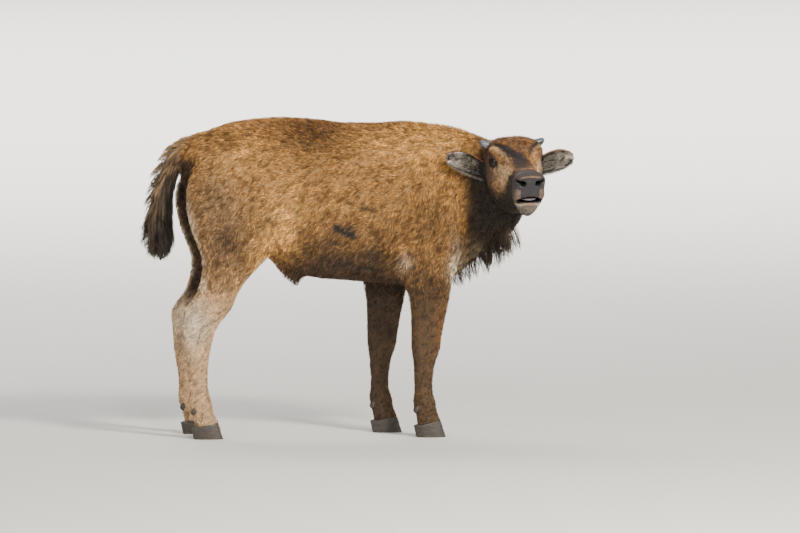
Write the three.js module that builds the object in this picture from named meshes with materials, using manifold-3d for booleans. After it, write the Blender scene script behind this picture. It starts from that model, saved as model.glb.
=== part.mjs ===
// American bison calf of about five months, standing square and looking over its right side, its muzzle raised.
// Millimetres, +Z up. The trunk points along +X, the animal's left is +Y, and the claws stand on z = 0.
// Every flesh node is cut from one joined body, so neighbours share a surface and part at thin cuts.
import * as THREE from "three";
import { mergeVertices } from "three/addons/utils/BufferGeometryUtils.js";
import Module from "manifold-3d";

const wasm = await Module();
wasm.setup();

const gap = 0.3; // kept between nodes that touch
const far = 3000; // reaches past the whole animal

// ---------------------------------------------------------------- driving dimensions
// Trunk stations from rump to breast: x, top, bottom, half width, level of the widest point,
// squareness of the upper half and of the lower half (2 is an ellipse). All sizes reach to the hair's tips.
const trunkStations = [
  [-430, 960, 800, 62, 900, 2.0, 2.0],
  [-400, 983, 720, 105, 880, 2.0, 2.0],
  [-345, 1003, 655, 142, 850, 2.1, 2.0],
  [-280, 1024, 622, 162, 830, 2.2, 2.0],
  [-200, 1034, 592, 172, 800, 2.2, 2.0],
  [-110, 1038, 545, 180, 770, 2.2, 2.1],
  [-20, 1032, 512, 188, 745, 2.2, 2.2],
  [80, 1020, 503, 190, 735, 2.2, 2.2],
  [170, 1019, 495, 182, 735, 2.1, 2.2],
  [250, 1023, 490, 166, 740, 2.0, 2.1],
  [330, 1019, 489, 150, 750, 2.0, 2.1],
  [400, 1010, 500, 134, 760, 2.0, 2.0],
  [455, 1000, 524, 112, 775, 2.0, 2.0],
];
const trunkRound = 34; // how far the rounded ends reach past the first and last station

// Neck stations: x, y, heading in degrees (0 along +X, negative to the right), top, bottom, half width,
// level of the widest point, squareness above and below.
const neckStations = [
  [390, 0, 0, 1010, 505, 120, 790, 2.0, 2.0],
  [445, -4, -4, 1003, 518, 114, 790, 2.0, 2.0],
  [497, -22, -22, 983, 562, 104, 790, 2.0, 1.9],
  [546, -58, -42, 965, 598, 94, 800, 2.0, 1.8],
  [582, -100, -60, 955, 634, 88, 815, 2.0, 1.7],
  [602, -142, -74, 949, 668, 83, 830, 2.0, 1.7],
];
const neckRound = 30;
const neckCutX = 442; // upright cut between trunk and neck

// Leg stations: height, x of the middle, half length, distance from the middle plane, half thickness.
const hindStations = [
  [905, -318, 96, 76, 46],
  [848, -302, 136, 92, 66],
  [768, -283, 166, 104, 75],
  [688, -276, 157, 106, 73],
  [624, -278, 132, 106, 66],
  [582, -288, 109, 104, 60],
  [544, -306, 90, 102, 53],
  [506, -326, 76, 100, 46],
  [470, -343, 73, 98, 42],
  [438, -360, 78, 97, 40],
  [416, -376, 80, 96, 38],
  [397, -386, 75, 96, 37],
  [374, -395, 64, 95, 36],
  [346, -401, 55, 95, 34],
  [304, -405, 48, 94, 31],
  [256, -407, 41, 94, 28],
  [208, -405, 35, 93, 26],
  [154, -401, 34, 93, 27],
  [118, -397, 41, 93, 32],
  [88, -390, 38, 93, 31],
  [58, -379, 41, 93, 34],
  [22, -368, 44, 93, 34],
];
const foreStations = [
  [860, 338, 70, 78, 40],
  [800, 338, 104, 92, 50],
  [704, 343, 124, 100, 56],
  [624, 343, 120, 102, 56],
  [570, 340, 105, 100, 52],
  [528, 340, 92, 98, 48],
  [490, 343, 80, 96, 45],
  [458, 347, 72, 95, 41],
  [416, 346, 64, 94, 38],
  [368, 342, 57, 92, 35],
  [320, 338, 52, 91, 36],
  [282, 336, 49, 90, 35],
  [243, 332, 39, 89, 30],
  [192, 329, 34, 88, 26],
  [144, 329, 33, 88, 26],
  [112, 332, 40, 88, 32],
  [82, 338, 38, 88, 31],
  [54, 346, 41, 88, 34],
  [20, 355, 44, 88, 34],
];
const legs = [
  // name, stations, side, how far behind its station the foot stands, how far below its top the leg
  // reaches that, level of the cut from the trunk
  ["hindleg_right", hindStations, -1, 0, 120, 566],
  ["hindleg_left", hindStations, 1, 21, 120, 566],
  ["foreleg_right", foreStations, -1, 0, 420, 476],
  ["foreleg_left", foreStations, 1, 126, 420, 476],
];
const coronet = { front: 55, rear: 37, halfLength: 44 }; // top of the claws, slanting down to the heel
const claw = { length: 47, width: 16, apart: 18.5, ahead: 8, sole: 0.94, toeTaper: 0.3 };
const dewclaw = { level: 92, behind: 38, apart: 16, length: 16, half: 8.5 };

// Head, in its own frame: s runs from the nape to the muzzle, w to the animal's left, and h up.
const headPose = { x: 606, y: -130, z: 901, heading: -83.5, pitch: -12, roll: 1.8 };
// Head stations: s, top, bottom, half width, level of the widest point, squareness above and below,
// and how far each millimetre of depth leans back.
const headStations = [
  [-18, 62, -95, 66, -5, 2.2, 2.1, 0],
  [10, 82, -122, 86, 20, 2.8, 2.3, 0],
  [40, 90, -142, 94, 30, 3.0, 2.4, 0],
  [75, 91, -150, 94, 30, 2.8, 2.5, 0],
  [105, 87, -148, 87, 27, 2.5, 2.4, 0],
  [135, 79, -140, 75, 18, 2.3, 2.3, 0],
  [165, 69, -130, 63, 4, 2.2, 2.2, 0.03],
  [200, 59, -119, 53, -10, 2.2, 2.2, 0.06],
  [235, 50, -110, 47, -16, 2.3, 2.2, 0.1],
  [265, 45, -110, 49, -8, 2.4, 2.1, 0.14],
  [288, 41, -106, 51, -2, 2.5, 2.1, 0.18],
  [298, 37, -98, 49, -2, 2.5, 2.1, 0.2],
];
const headRound = 12;
// Swellings and hollows of the face: centre s, w, h, reach along each, and push along each; all but the
// middle ones have a twin on the other side.
const faceForms = [
  [60, 0, 92, 46, 52, 30, 2, 0, 3], // forehead
  [98, 78, 56, 30, 22, 15, 2, 4, 4], // brow ridge
  [126, 68, 28, 16, 18, 14, 3, 4, 0], // rim in front of the orbit
  [106, 82, -6, 26, 22, 12, 0, 3, 0], // lower rim of the orbit
  [58, 90, 40, 22, 26, 18, 0, -5, 0], // temple
  [66, 78, -52, 40, 34, 34, 0, 2, -2], // cheek
  [160, 60, -22, 30, 24, 26, 0, -4, 0], // hollow before the cheek
  [190, 0, 66, 46, 40, 24, 0, 0, -4], // bridge of the nose
  [296, 34, 20, 18, 18, 18, 3, 4, 3], // wing of the nostril
  [296, 24, -28, 16, 26, 11, 4, 2, 0], // upper lip
  [286, 0, -66, 16, 44, 11, 4, 0, 0], // lower lip
  [284, 44, -44, 20, 16, 15, 0, 5, 0], // corners of the lips
  [276, 0, -106, 26, 26, 16, 3, 0, -6], // chin
];
const headCut = { s: 30, lean: 14 }; // cut between head and neck, its lower end further forward

const eye = { s: 104, w: 69, h: 25, radius: 19.5, lid: 3.6, aside: 57, up: 4 };
const lids = { halfLength: 19, halfHeight: 13.5 };
const nostril = { s: 303, w: 30, h: 12, deep: 20, half: 15, high: 8.5, slant: 27, out: 24 };
const mouth = { corner: 226, front: 330, upper: -39, lower: -57, halfWidth: 45, droop: 9, seam: 1.8 };
const tongue = { from: 234, to: 303, half: 30, middle: -48.5, thick: 4.8 };
// The right ear is held higher at its tip than the left one.
const ear = {
  right: { s: 28, w: 76, h: -33, length: 136, back: -27, rise: 50 },
  left: { s: 28, w: 76, h: -24, length: 136, back: -27, rise: 20 },
};
const earLeaf = { width: 34, depth: 24, wall: 5, widest: 0.45, root: 0.62, bow: 2.1 };
const horn = { s: 33, w: 62, h: 60, out: 45, up: 10, back: -6, radius: 14, round: 5.2 };

// Tail: x, z, half length across the trunk's plane, half thickness, from the dock to the last hair.
const tailStations = [
  [-384, 966, 22, 24],
  [-405, 966, 27, 28],
  [-434, 948, 33, 31],
  [-462, 916, 37, 33],
  [-486, 874, 39, 34],
  [-502, 826, 39, 34],
  [-513, 774, 40, 35],
  [-520, 718, 45, 38],
  [-517, 664, 48, 39],
  [-520, 610, 35, 28],
  [-520, 572, 16, 12],
];
const tailCut = 4.3; // stations from the dock at which the switch begins

// Sheath stations under the belly: x, bottom, half width.
const sheathStations = [
  [-165, 578, 9],
  [-128, 530, 20],
  [-98, 498, 23],
  [-74, 484, 18],
  [-56, 500, 9],
];
const sheathTop = 575;

// Fringe of the throat and brisket, in rows along the neck's stations. Each row has its locks at angles from
// the middle line underneath; two kinds of row take turns. A lock stands out furthest at the middle line.
const fringe = { first: 1.08, last: 5.05, rows: 12, atMiddle: 56, atSide: 20 };
const fringeLock = { width: 36, thick: 7, sunk: 12 };
const fringeAngles = [[-36, 0, 36], [-58, -18, 18, 58]];

// Hair of the tail, in rows along its stations, over a core that is a share of the full width.
const tailCore = { share: 0.5, last: 8.4, sunk: 7 };
const dockHair = { first: 0.45, last: 3.6, rows: 4, around: 4, length: 1.9, width: 48, thick: 11 };
const switchHair = { first: 4.6, last: 7.5, rows: 4, around: 5, length: 3, width: 40, thick: 10 };

// ---------------------------------------------------------------- curves and closed skins
const lerp = THREE.MathUtils.lerp;
const radians = THREE.MathUtils.degToRad;
const upright = new THREE.Vector3(0, 0, 1);

// A smooth curve through a table's rows: all columns as a function of the first, which may rise or fall.
function through(rows) {
  const slope = (i, k) => {
    const a = rows[Math.max(0, i - 1)];
    const b = rows[Math.min(rows.length - 1, i + 1)];
    return (b[k] - a[k]) / (b[0] - a[0]);
  };
  const rising = rows.at(-1)[0] > rows[0][0] ? 1 : -1;
  return (x) => {
    let i = 0;
    while (i < rows.length - 2 && (x - rows[i + 1][0]) * rising > 0) i += 1;
    const width = rows[i + 1][0] - rows[i][0];
    const t = THREE.MathUtils.clamp((x - rows[i][0]) / width, 0, 1);
    return rows[i].map((value, k) => {
      if (k === 0) return x;
      const [m0, m1] = [slope(i, k) * width, slope(i + 1, k) * width];
      const start = value * (1 + 2 * t) * (1 - t) ** 2 + m0 * t * (1 - t) ** 2;
      return start + rows[i + 1][k] * t * t * (3 - 2 * t) + m1 * t * t * (t - 1);
    });
  };
}

function solidOf(geometry) {
  for (const name of ["normal", "uv"]) geometry.deleteAttribute(name);
  const merged = mergeVertices(geometry, 1e-4);
  const vertProperties = merged.attributes.position.array;
  const triVerts = new Uint32Array(merged.index.array);
  const solid = new wasm.Manifold(new wasm.Mesh({ numProp: 3, vertProperties, triVerts }));
  if (solid.volume() > 0) return solid;
  for (let i = 0; i < triVerts.length; i += 3) [triVerts[i], triVerts[i + 1]] = [triVerts[i + 1], triVerts[i]];
  return new wasm.Manifold(new wasm.Mesh({ numProp: 3, vertProperties, triVerts }));
}

// A closed skin over rings of points: a sphere's grid, whose poles are the first and last ring's middles.
function skinOver(rings) {
  const around = rings[0].length;
  const sphere = new THREE.SphereGeometry(1, around, rings.length + 1);
  const place = sphere.getAttribute("position");
  const middle = (ring) => ring.reduce((sum, p) => sum.add(p), new THREE.Vector3()).divideScalar(around);
  const rows = [Array(around).fill(middle(rings[0])), ...rings, Array(around).fill(middle(rings.at(-1)))];
  rows.forEach((row, i) => {
    for (let j = 0; j <= around; j += 1) place.setXYZ(i * (around + 1) + j, ...row[j % around].toArray());
  });
  return solidOf(sphere);
}

// Points of a rounded outline, anticlockwise: its upper and lower half have their own height and squareness.
function outline(around, half, top, level, bottom, above = 2, below = 2) {
  return Array.from({ length: around }, (_, j) => {
    const a = (2 * Math.PI * j) / around;
    const [c, s] = [Math.cos(a), Math.sin(a)];
    const n = s > 0 ? above : below;
    const reach = s > 0 ? top - level : level - bottom;
    const up = reach * Math.sign(s) * Math.abs(s) ** (2 / n);
    return [half * Math.sign(c) * Math.abs(c) ** (2 / n), level + up];
  });
}

// Places along a body with rounded ends: where along its table, how far past the end, share of full size.
function ringPlaces(first, last, count, roundness, capRings = 3) {
  const steps = Array.from({ length: count + 1 }, (_, i) => [lerp(first, last, i / count), 0, 1]);
  const cap = (end, sign) =>
    Array.from({ length: capRings }, (_, i) => {
      const a = ((i + 1) / (capRings + 0.35)) * (Math.PI / 2);
      return [end, sign * roundness * Math.sin(a), Math.cos(a)];
    });
  return [...cap(first, -1).reverse(), ...steps, ...cap(last, 1)];
}

function ellipsoid(matrix, around = 16, rows = 10) {
  return solidOf(new THREE.SphereGeometry(1, around, rows).applyMatrix4(matrix));
}

// Half of space as a big box whose face passes through point, on the side that normal points to.
function beyond(point, normal) {
  const turn = new THREE.Quaternion().setFromUnitVectors(upright, normal);
  const box = new THREE.BoxGeometry(far, far, far).translate(0, 0, far / 2);
  return solidOf(box.applyQuaternion(turn).translate(...point.toArray()));
}

function boxSolid(low, high) {
  const box = new THREE.BoxGeometry(...high.map((value, k) => value - low[k]));
  return solidOf(box.translate(...high.map((value, k) => (value + low[k]) / 2)));
}

// ---------------------------------------------------------------- trunk, neck, legs
function trunkSolid(grow) {
  const at = through(trunkStations);
  const places = ringPlaces(trunkStations[0][0], trunkStations.at(-1)[0], 18, trunkRound);
  const rings = places.map(([x, past, share]) => {
    const [, top, bottom, half, level, above, below] = at(x);
    const ring = outline(24, half + grow, top + grow, level, bottom - grow, above, below);
    const end = past + Math.sign(past) * grow;
    return ring.map(([across, up]) => new THREE.Vector3(x + end, across * share, level + (up - level) * share));
  });
  return skinOver(rings).add(sheathSolid());
}

function sheathSolid() {
  const rings = sheathStations.map(([x, bottom, half]) => {
    const ring = outline(10, half, sheathTop, (sheathTop + 2 * bottom) / 3, bottom);
    return ring.map(([across, up]) => new THREE.Vector3(x, across, up));
  });
  return skinOver(rings);
}

const neckAt = through(neckStations.map((row, i) => [i, ...row]));
// A point of the neck: t stations along it, so far past its end, and a share of the way out from its level.
function neckPoint(t, past, share, across, up, level) {
  const [, x, y, heading] = neckAt(t);
  const [c, s] = [Math.cos(radians(heading)), Math.sin(radians(heading))];
  const side = across * share;
  return new THREE.Vector3(x + past * c - side * s, y + past * s + side * c, level + (up - level) * share);
}

function neckSolid(grow = 0) {
  const places = ringPlaces(0, neckStations.length - 1, 8, neckRound);
  const rings = places.map(([t, past, share]) => {
    const [, , , , top, bottom, half, level, above, below] = neckAt(t);
    const ring = outline(22, half + grow, top + grow, level, bottom - grow, above, below);
    return ring.map(([across, up]) => neckPoint(t, past, share, across, up, level));
  });
  return skinOver(rings);
}

// A lock of hair: a flat blade of three sides along a bent line, tapering from its root to its tip.
function lockSolid(points, across, width, thick) {
  const line = new THREE.QuadraticBezierCurve3(...points);
  const shape = [[0, 0.75, 1], [0.36, 1, 1], [0.72, 0.62, 0.7], [0.98, 0.07, 0.15]]; // along, wide, thick
  const rings = shape.map(([t, wide, deep]) => {
    const middle = line.getPoint(t);
    const flat = across.clone().cross(line.getTangent(t)).normalize();
    const corner = (side, rise) => {
      const edge = middle.clone().addScaledVector(across, (side * width * wide) / 2);
      return edge.addScaledVector(flat, rise * thick * deep);
    };
    return [corner(-1, -0.35), corner(1, -0.35), corner(0, 0.65)];
  });
  return skinOver(rings);
}

let seed = 20;
const vary = (spread) => {
  seed = (seed * 16807) % 2147483647;
  return 1 + spread * ((2 * seed) / 2147483647 - 1);
};

// A point so far out from the neck's surface, at an angle from the middle line underneath.
function underNeck(t, angle, rise) {
  const [, , , heading, , bottom, half, level, , below] = neckAt(t);
  const [c, s] = [Math.sin(radians(angle)), Math.cos(radians(angle))];
  const across = Math.sign(c) * Math.abs(c) ** (2 / below);
  const down = s ** (2 / below);
  const normal = new THREE.Vector2(across * (level - bottom), -down * half).normalize();
  const point = neckPoint(t, 0, 1, across * half, level - down * (level - bottom), 0);
  const out = new THREE.Vector3(0, normal.x, normal.y).applyAxisAngle(upright, radians(heading));
  return point.addScaledVector(out, rise);
}

// Locks under the throat and brisket: each leaves the skin, turns a little forward, and overlaps the next.
function fringeSolid() {
  const locks = [];
  for (let row = 0; row < fringe.rows; row += 1) {
    for (const angle of fringeAngles[row % 2]) {
      const t = lerp(fringe.first, fringe.last, row / (fringe.rows - 1)) + 0.08 * (vary(1) - 1);
      const out = lerp(fringe.atMiddle, fringe.atSide, Math.min(1, Math.abs(angle) / 58)) * vary(0.15);
      const hang = 0.5 * Math.abs(angle) * vary(0.2);
      const points = [
        underNeck(t, angle, -fringeLock.sunk),
        underNeck(t + 0.05, angle * 0.94, 0.62 * out),
        underNeck(t + 0.24, angle * 0.8, out).add(new THREE.Vector3(0, 0, -hang)),
      ];
      const along = underNeck(t + 0.2, angle, 0).sub(underNeck(t - 0.2, angle, 0)).normalize();
      locks.push(lockSolid(points, along, fringeLock.width * vary(0.15), fringeLock.thick));
    }
  }
  return locks.reduce((sum, lock) => sum.add(lock));
}

// How far behind its station a leg's middle is at a level: nothing at the top, all of it so far below.
function lean(stations, back, reach, level) {
  return back * THREE.MathUtils.smoothstep(stations[0][0] - level, 0.14 * reach, reach);
}

function legSolid(stations, side, back, reach, grow) {
  const at = through(stations);
  const levels = stations.map(([z]) => z);
  const rings = levels.map((z) => {
    const [, x, halfLength, y, halfThick] = at(z);
    const middle = x - lean(stations, back, reach, z);
    const ring = outline(14, halfThick + grow, halfLength + grow, 0, -halfLength - grow, 2.2, 2.2);
    return ring.map(([across, along]) => new THREE.Vector3(middle + along, side * y + across, z));
  });
  return skinOver(rings);
}

// ---------------------------------------------------------------- feet
// The slanted plane of the coronet, moved up by so much.
function coronetPlane(footX, up, normalSign) {
  const slope = Math.atan2(coronet.front - coronet.rear, 2 * coronet.halfLength);
  const point = new THREE.Vector3(footX, 0, (coronet.front + coronet.rear) / 2 + up);
  return beyond(point, new THREE.Vector3(-Math.sin(slope), 0, Math.cos(slope)).multiplyScalar(normalSign));
}

// One claw: a half-oval that narrows to the toe, sloping back from its flat sole to the coronet.
function clawSolid(footX, y) {
  const levels = [0, 14, 34, 66];
  const rings = levels.map((z) => {
    const size = lerp(1, claw.sole, z / 66);
    const back = 0.3 * z;
    return Array.from({ length: 10 }, (_, j) => {
      const a = (2 * Math.PI * j) / 10;
      const narrow = 1 - claw.toeTaper * Math.max(0, Math.cos(a)) ** 2;
      const x = footX + claw.ahead - back + claw.length * size * Math.cos(a);
      return new THREE.Vector3(x, y + claw.width * size * narrow * Math.sin(a), z);
    });
  });
  return skinOver(rings);
}

function dewclawSolid(footX, y) {
  const place = new THREE.Matrix4().makeRotationY(radians(28));
  place.scale(new THREE.Vector3(dewclaw.half, dewclaw.half * 0.8, dewclaw.length));
  place.setPosition(footX - dewclaw.behind, y, dewclaw.level);
  return ellipsoid(place, 6, 4);
}

// ---------------------------------------------------------------- head
const headFrame = new THREE.Matrix4();
{
  const [heading, pitch] = [radians(headPose.heading), radians(headPose.pitch)];
  const level = new THREE.Vector3(Math.cos(heading), Math.sin(heading), 0).multiplyScalar(Math.cos(pitch));
  const ahead = level.setZ(Math.sin(pitch));
  const left = new THREE.Vector3(-Math.sin(heading), Math.cos(heading), 0);
  const up = new THREE.Vector3().crossVectors(ahead, left);
  const roll = radians(headPose.roll);
  [left, up].forEach((axis) => axis.applyAxisAngle(ahead, roll));
  headFrame.makeBasis(ahead, left, up).setPosition(headPose.x, headPose.y, headPose.z);
}
const inHead = (s, w, h) => new THREE.Vector3(s, w, h).applyMatrix4(headFrame);

// A point of the face moved by its swellings and hollows, and set in the head's place.
function facePoint(s, w, h) {
  const move = [s, w, h];
  for (const [cs, cw, ch, rs, rw, rh, ...push] of faceForms) {
    for (const side of cw ? [-1, 1] : [1]) {
      const weight = Math.exp(-(((s - cs) / rs) ** 2 + ((w - side * cw) / rw) ** 2 + ((h - ch) / rh) ** 2));
      push.forEach((value, k) => (move[k] += value * weight * (k === 1 ? side : 1)));
    }
  }
  return inHead(...move);
}

function skullSolid(grow = 0) {
  const at = through(headStations);
  const places = ringPlaces(headStations[0][0], headStations.at(-1)[0], 24, headRound);
  return skinOver(
    places.map(([s, past, share]) => {
      const [, top, bottom, half, level, above, below, back] = at(s);
      return outline(34, half + grow, top + grow, level, bottom - grow, above, below).map(([across, up]) => {
        const h = level + (up - level) * share;
        return facePoint(s + past + back * (h - level), across * share, h);
      });
    }),
  );
}

// A matrix that puts a unit ball at a place of the head, turned aside and up, with its own half sizes.
function headPlace(s, w, h, aside, up, sizes) {
  const turn = new THREE.Matrix4().makeRotationZ(radians(aside));
  turn.multiply(new THREE.Matrix4().makeRotationY(radians(-up)));
  return headFrame.clone().multiply(turn.setPosition(s, w, h)).scale(new THREE.Vector3(...sizes));
}

const eyePlace = (side, size) =>
  headPlace(eye.s, side * eye.w, eye.h, side * eye.aside, eye.up, [size, size, size]);

function eyeball(side, radius) {
  return ellipsoid(eyePlace(side, radius), 12, 8);
}

// The almond opening between the lids, as a prism that looks out along the eye's axis.
function lidOpening(side) {
  const almond = new THREE.Shape();
  almond.moveTo(-lids.halfLength, -1.5);
  almond.quadraticCurveTo(-2, lids.halfHeight * 2, lids.halfLength, 1.5);
  almond.quadraticCurveTo(2, -lids.halfHeight * 1.7, -lids.halfLength, -1.5);
  const prism = new THREE.ExtrudeGeometry(almond, { depth: 40, bevelEnabled: false, curveSegments: 6 });
  prism.rotateX(Math.PI / 2).rotateZ(Math.PI / 2); // extruded along the axis, its length level
  return solidOf(prism.applyMatrix4(eyePlace(side, 1)));
}

function nostrilCut(side) {
  const place = headPlace(nostril.s, side * nostril.w, nostril.h, side * nostril.out, 0, [1, 1, 1]);
  place.multiply(new THREE.Matrix4().makeRotationX(radians(side * nostril.slant)));
  place.scale(new THREE.Vector3(nostril.deep, nostril.half, nostril.high));
  return ellipsoid(place, 12, 8);
}

// The gap between the lips: a wedge, widest at the front, whose sides close to a seam; shrunk by inset.
function mouthSolid(inset = 0) {
  const rings = Array.from({ length: 11 }, (_, i) => {
    const w = lerp(-1, 1, i / 10) * (mouth.halfWidth + 16 - inset);
    const side = Math.min(1, Math.abs(w) / mouth.halfWidth);
    const drop = mouth.droop * side ** 2;
    const closing = 1 - side ** 2.5;
    const half = Math.max(mouth.seam / 2, ((mouth.upper - mouth.lower) / 2) * closing) - inset;
    const middle = (mouth.upper + mouth.lower) / 2 - drop;
    const shape = [
      [mouth.corner + inset, 0.12],
      [lerp(mouth.corner, mouth.front, 0.45), 1],
      [mouth.front - inset, 1.2],
    ];
    const top = shape.map(([s, open]) => inHead(s, w, middle + half * open));
    const low = shape.map(([s, open]) => inHead(s, w, middle - half * open)).reverse();
    return [...top, ...low];
  });
  return skinOver(rings);
}

function tongueSolid() {
  const half = (tongue.to - tongue.from) / 2;
  const middle = new THREE.Matrix4().setPosition(tongue.from + half, 0, tongue.middle);
  const place = headFrame.clone().multiply(middle);
  place.scale(new THREE.Vector3(half, tongue.half, tongue.thick));
  return ellipsoid(place, 12, 6).intersect(mouthSolid(gap));
}

// An ear: a leaf-shaped blade bent to a cup that opens forward, rolled to a tube at its root.
function earSolid(side) {
  const { s, w, h, length, back, rise } = side < 0 ? ear.right : ear.left;
  const root = new THREE.Vector3(s, side * w, h);
  const axis = new THREE.Vector3(back, side * length, rise);
  const rows = 10;
  const rings = Array.from({ length: rows }, (_, i) => {
    const t = (i / (rows - 1)) ** 0.8 * 0.985;
    const reach = t < earLeaf.widest ? earLeaf.root : 1 - earLeaf.widest;
    const leaf = Math.sqrt(1 - (Math.abs(t - earLeaf.widest) / reach) ** earLeaf.bow);
    const width = earLeaf.width * leaf;
    const depth = earLeaf.depth * leaf * lerp(1.05, 0.55, t);
    const middle = root.clone().addScaledVector(axis, t);
    middle.z += 7 * Math.sin(Math.PI * t);
    const wall = Math.min(earLeaf.wall, 0.45 * width) * lerp(1.25, 0.62, t);
    const bend = 1.35 - 0.35 * t;
    const arc = (turn, inner) => {
      const across = ((width - inner) * Math.sin(turn)) / Math.sin(bend);
      const ahead = (depth - inner) * -Math.cos(turn);
      return inHead(middle.x + ahead, middle.y, middle.z + across);
    };
    const turns = Array.from({ length: 7 }, (_, k) => lerp(-bend, bend, k / 6));
    const outer = turns.map((turn) => arc(turn, 0));
    const inner = turns.map((turn) => arc(turn * 0.96, wall)).reverse();
    return [...outer, ...inner];
  });
  return skinOver(rings);
}

function hornSolid(side) {
  const rings = [0, 0.4, 0.7, 0.86, 0.95, 0.99].map((t) => {
    const radius = horn.radius * (1 - t ** horn.round) ** 0.5;
    const middle = [horn.s + horn.back * t, side * (horn.w + horn.out * t), horn.h + horn.up * t * t];
    return Array.from({ length: 9 }, (_, j) => {
      const a = (2 * Math.PI * j) / 9;
      return inHead(middle[0] + radius * Math.cos(a), middle[1], middle[2] + radius * Math.sin(a));
    });
  });
  return skinOver(rings);
}

// ---------------------------------------------------------------- tail
const tailAt = through(tailStations.map((row, i) => [i, ...row]));
function tailFrame(t) {
  const [, x, z, half, thick] = tailAt(t);
  const [, x0, z0] = tailAt(Math.max(0, t - 0.1));
  const [, x1, z1] = tailAt(Math.min(tailStations.length - 1, t + 0.1));
  const along = new THREE.Vector3(x1 - x0, 0, z1 - z0).normalize();
  const out = new THREE.Vector3(along.z, 0, -along.x);
  return { middle: new THREE.Vector3(x, 0, z), along, out, half, thick };
}

// A point so far out from the tail's middle line, at an angle around it, as a share of its full width there.
function tailPoint(t, angle, share) {
  const { middle, out, half, thick } = tailFrame(t);
  const point = middle.clone().addScaledVector(out, half * share * Math.sin(angle));
  return point.setY(thick * share * Math.cos(angle));
}

// A stretch of the tail's core from one station to another, with its rows of hair; seeded, and grown by a gap.
function tailSolid(from, to, hair, grow = 0) {
  seed = 90;
  const count = Math.round((to - from) * 1.6);
  const rings = Array.from({ length: count + 1 }, (_, i) => {
    const t = lerp(from, to, i / count);
    const share = lerp(1, tailCore.share, THREE.MathUtils.smoothstep(t, 0, 1.2));
    const taper = to > tailCut ? Math.sqrt(1 - (i / (count + 0.4)) ** 4) : 1;
    return Array.from({ length: 10 }, (_, j) => tailPoint(t, (2 * Math.PI * j) / 10, share * taper));
  });
  let solid = skinOver(rings);
  for (let row = 0; row < hair.rows; row += 1) {
    const t = lerp(hair.first, hair.last, row / (hair.rows - 1));
    for (let k = 0; k < hair.around; k += 1) {
      const angle = (2 * Math.PI * (k + 0.5 * (row % 2) + 0.12 * (vary(1) - 1))) / hair.around;
      const end = Math.min(t + hair.length * vary(0.14), tailStations.length - 1 + 0.3);
      const sunk = 1 - tailCore.sunk / (tailAt(t)[3] * tailCore.share);
      const points = [
        tailPoint(t, angle, tailCore.share * sunk),
        tailPoint(lerp(t, end, 0.42), angle, 0.98),
        tailPoint(end, angle, 0.97 * vary(0.06)),
      ];
      const outward = tailPoint(t, angle, 1).sub(tailPoint(t, angle, 0)).normalize();
      const across = outward.cross(tailFrame(t).along).normalize();
      solid = solid.add(lockSolid(points, across, hair.width * vary(0.12) + 2 * grow, hair.thick + 3 * grow));
    }
  }
  return solid;
}

// ---------------------------------------------------------------- assembly
const group = new THREE.Group();
group.name = "bison_calf";

function addNode(name, solid, color, roughness = 0.85) {
  const mesh = solid.decompose().sort((a, b) => b.volume() - a.volume())[0].getMesh();
  const geometry = new THREE.BufferGeometry();
  geometry.setAttribute("position", new THREE.BufferAttribute(mesh.vertProperties, 3));
  geometry.setIndex(new THREE.BufferAttribute(mesh.triVerts, 1));
  geometry.computeVertexNormals();
  const node = new THREE.Mesh(geometry, new THREE.MeshStandardMaterial({ color, roughness, metalness: 0 }));
  node.name = name;
  group.add(node);
}

const coat = 0xa8703a;
const legCoat = 0xb07c4c;
const headCoat = 0x9a6234;
const tailCoat = 0x5a3a22;
const hoofHorn = 0x3a342e;
const hornHorn = 0x4c4f58;
const eyeDark = 0x120c08;
const tonguePink = 0xa58a88;

// The four legs, and the body without its head, each a gap larger where a neighbour is cut by it.
const legsGrown = (grow) => legs.map(([, stations, side, back, reach]) =>
  legSolid(stations, side, back, reach, grow));
const bodyGrown = (grow) =>
  legsGrown(grow).reduce((sum, leg) => sum.add(leg), trunkSolid(grow).add(neckSolid(grow)));
const legSolids = legsGrown(0);
const legsCleared = legsGrown(gap);
const skull = skullSolid();
const headCleared = skullSolid(gap).add(neckSolid(gap));
const whole = bodyGrown(0).add(skull);

// the cuts
const cutLean = radians(headCut.lean);
const cutPoint = inHead(headCut.s, 0, 0);
const cutNormal = inHead(headCut.s + Math.cos(cutLean), 0, Math.sin(cutLean)).sub(cutPoint);
const aheadOfCut = beyond(cutPoint.clone().addScaledVector(cutNormal, gap / 2), cutNormal);
const behindCut = beyond(cutPoint.clone().addScaledVector(cutNormal, -gap / 2), cutNormal.clone().negate());
const foreOfTrunk = beyond(new THREE.Vector3(neckCutX + gap / 2, 0, 0), new THREE.Vector3(1, 0, 0));
const aftOfNeck = beyond(new THREE.Vector3(neckCutX - gap / 2, 0, 0), new THREE.Vector3(-1, 0, 0));

let torso = whole.intersect(aftOfNeck);
legs.forEach(([name, stations, side, back, reach, cutLevel], i) => {
  const [fore, aft] = [stations === foreStations ? neckCutX - 1 : -150, stations === foreStations ? 120 : -far];
  const below = boxSolid([aft, side > 0 ? 0 : -far, -far], [fore, side > 0 ? far : 0, cutLevel]);
  const footX = stations.at(-2)[1] - lean(stations, back, reach, 0);
  torso = torso.subtract(below);
  const lower = legSolids[i].intersect(boxSolid([-far, -far, -far], [far, far, cutLevel - gap]));
  addNode(name, lower.intersect(coronetPlane(footX, gap / 2, 1)), legCoat);
  const y = side * stations.at(-1)[3];
  for (const [place, apart] of [["inner", -side], ["outer", side]]) {
    const hoof = clawSolid(footX, y + apart * claw.apart).intersect(coronetPlane(footX, -gap / 2, -1));
    addNode(`claw_${name}_${place}`, hoof, hoofHorn, 0.5);
    const spur = dewclawSolid(footX, y + apart * dewclaw.apart);
    addNode(`dewclaw_${name}_${place}`, spur.subtract(legsCleared[i]), hoofHorn, 0.5);
  }
});
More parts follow.
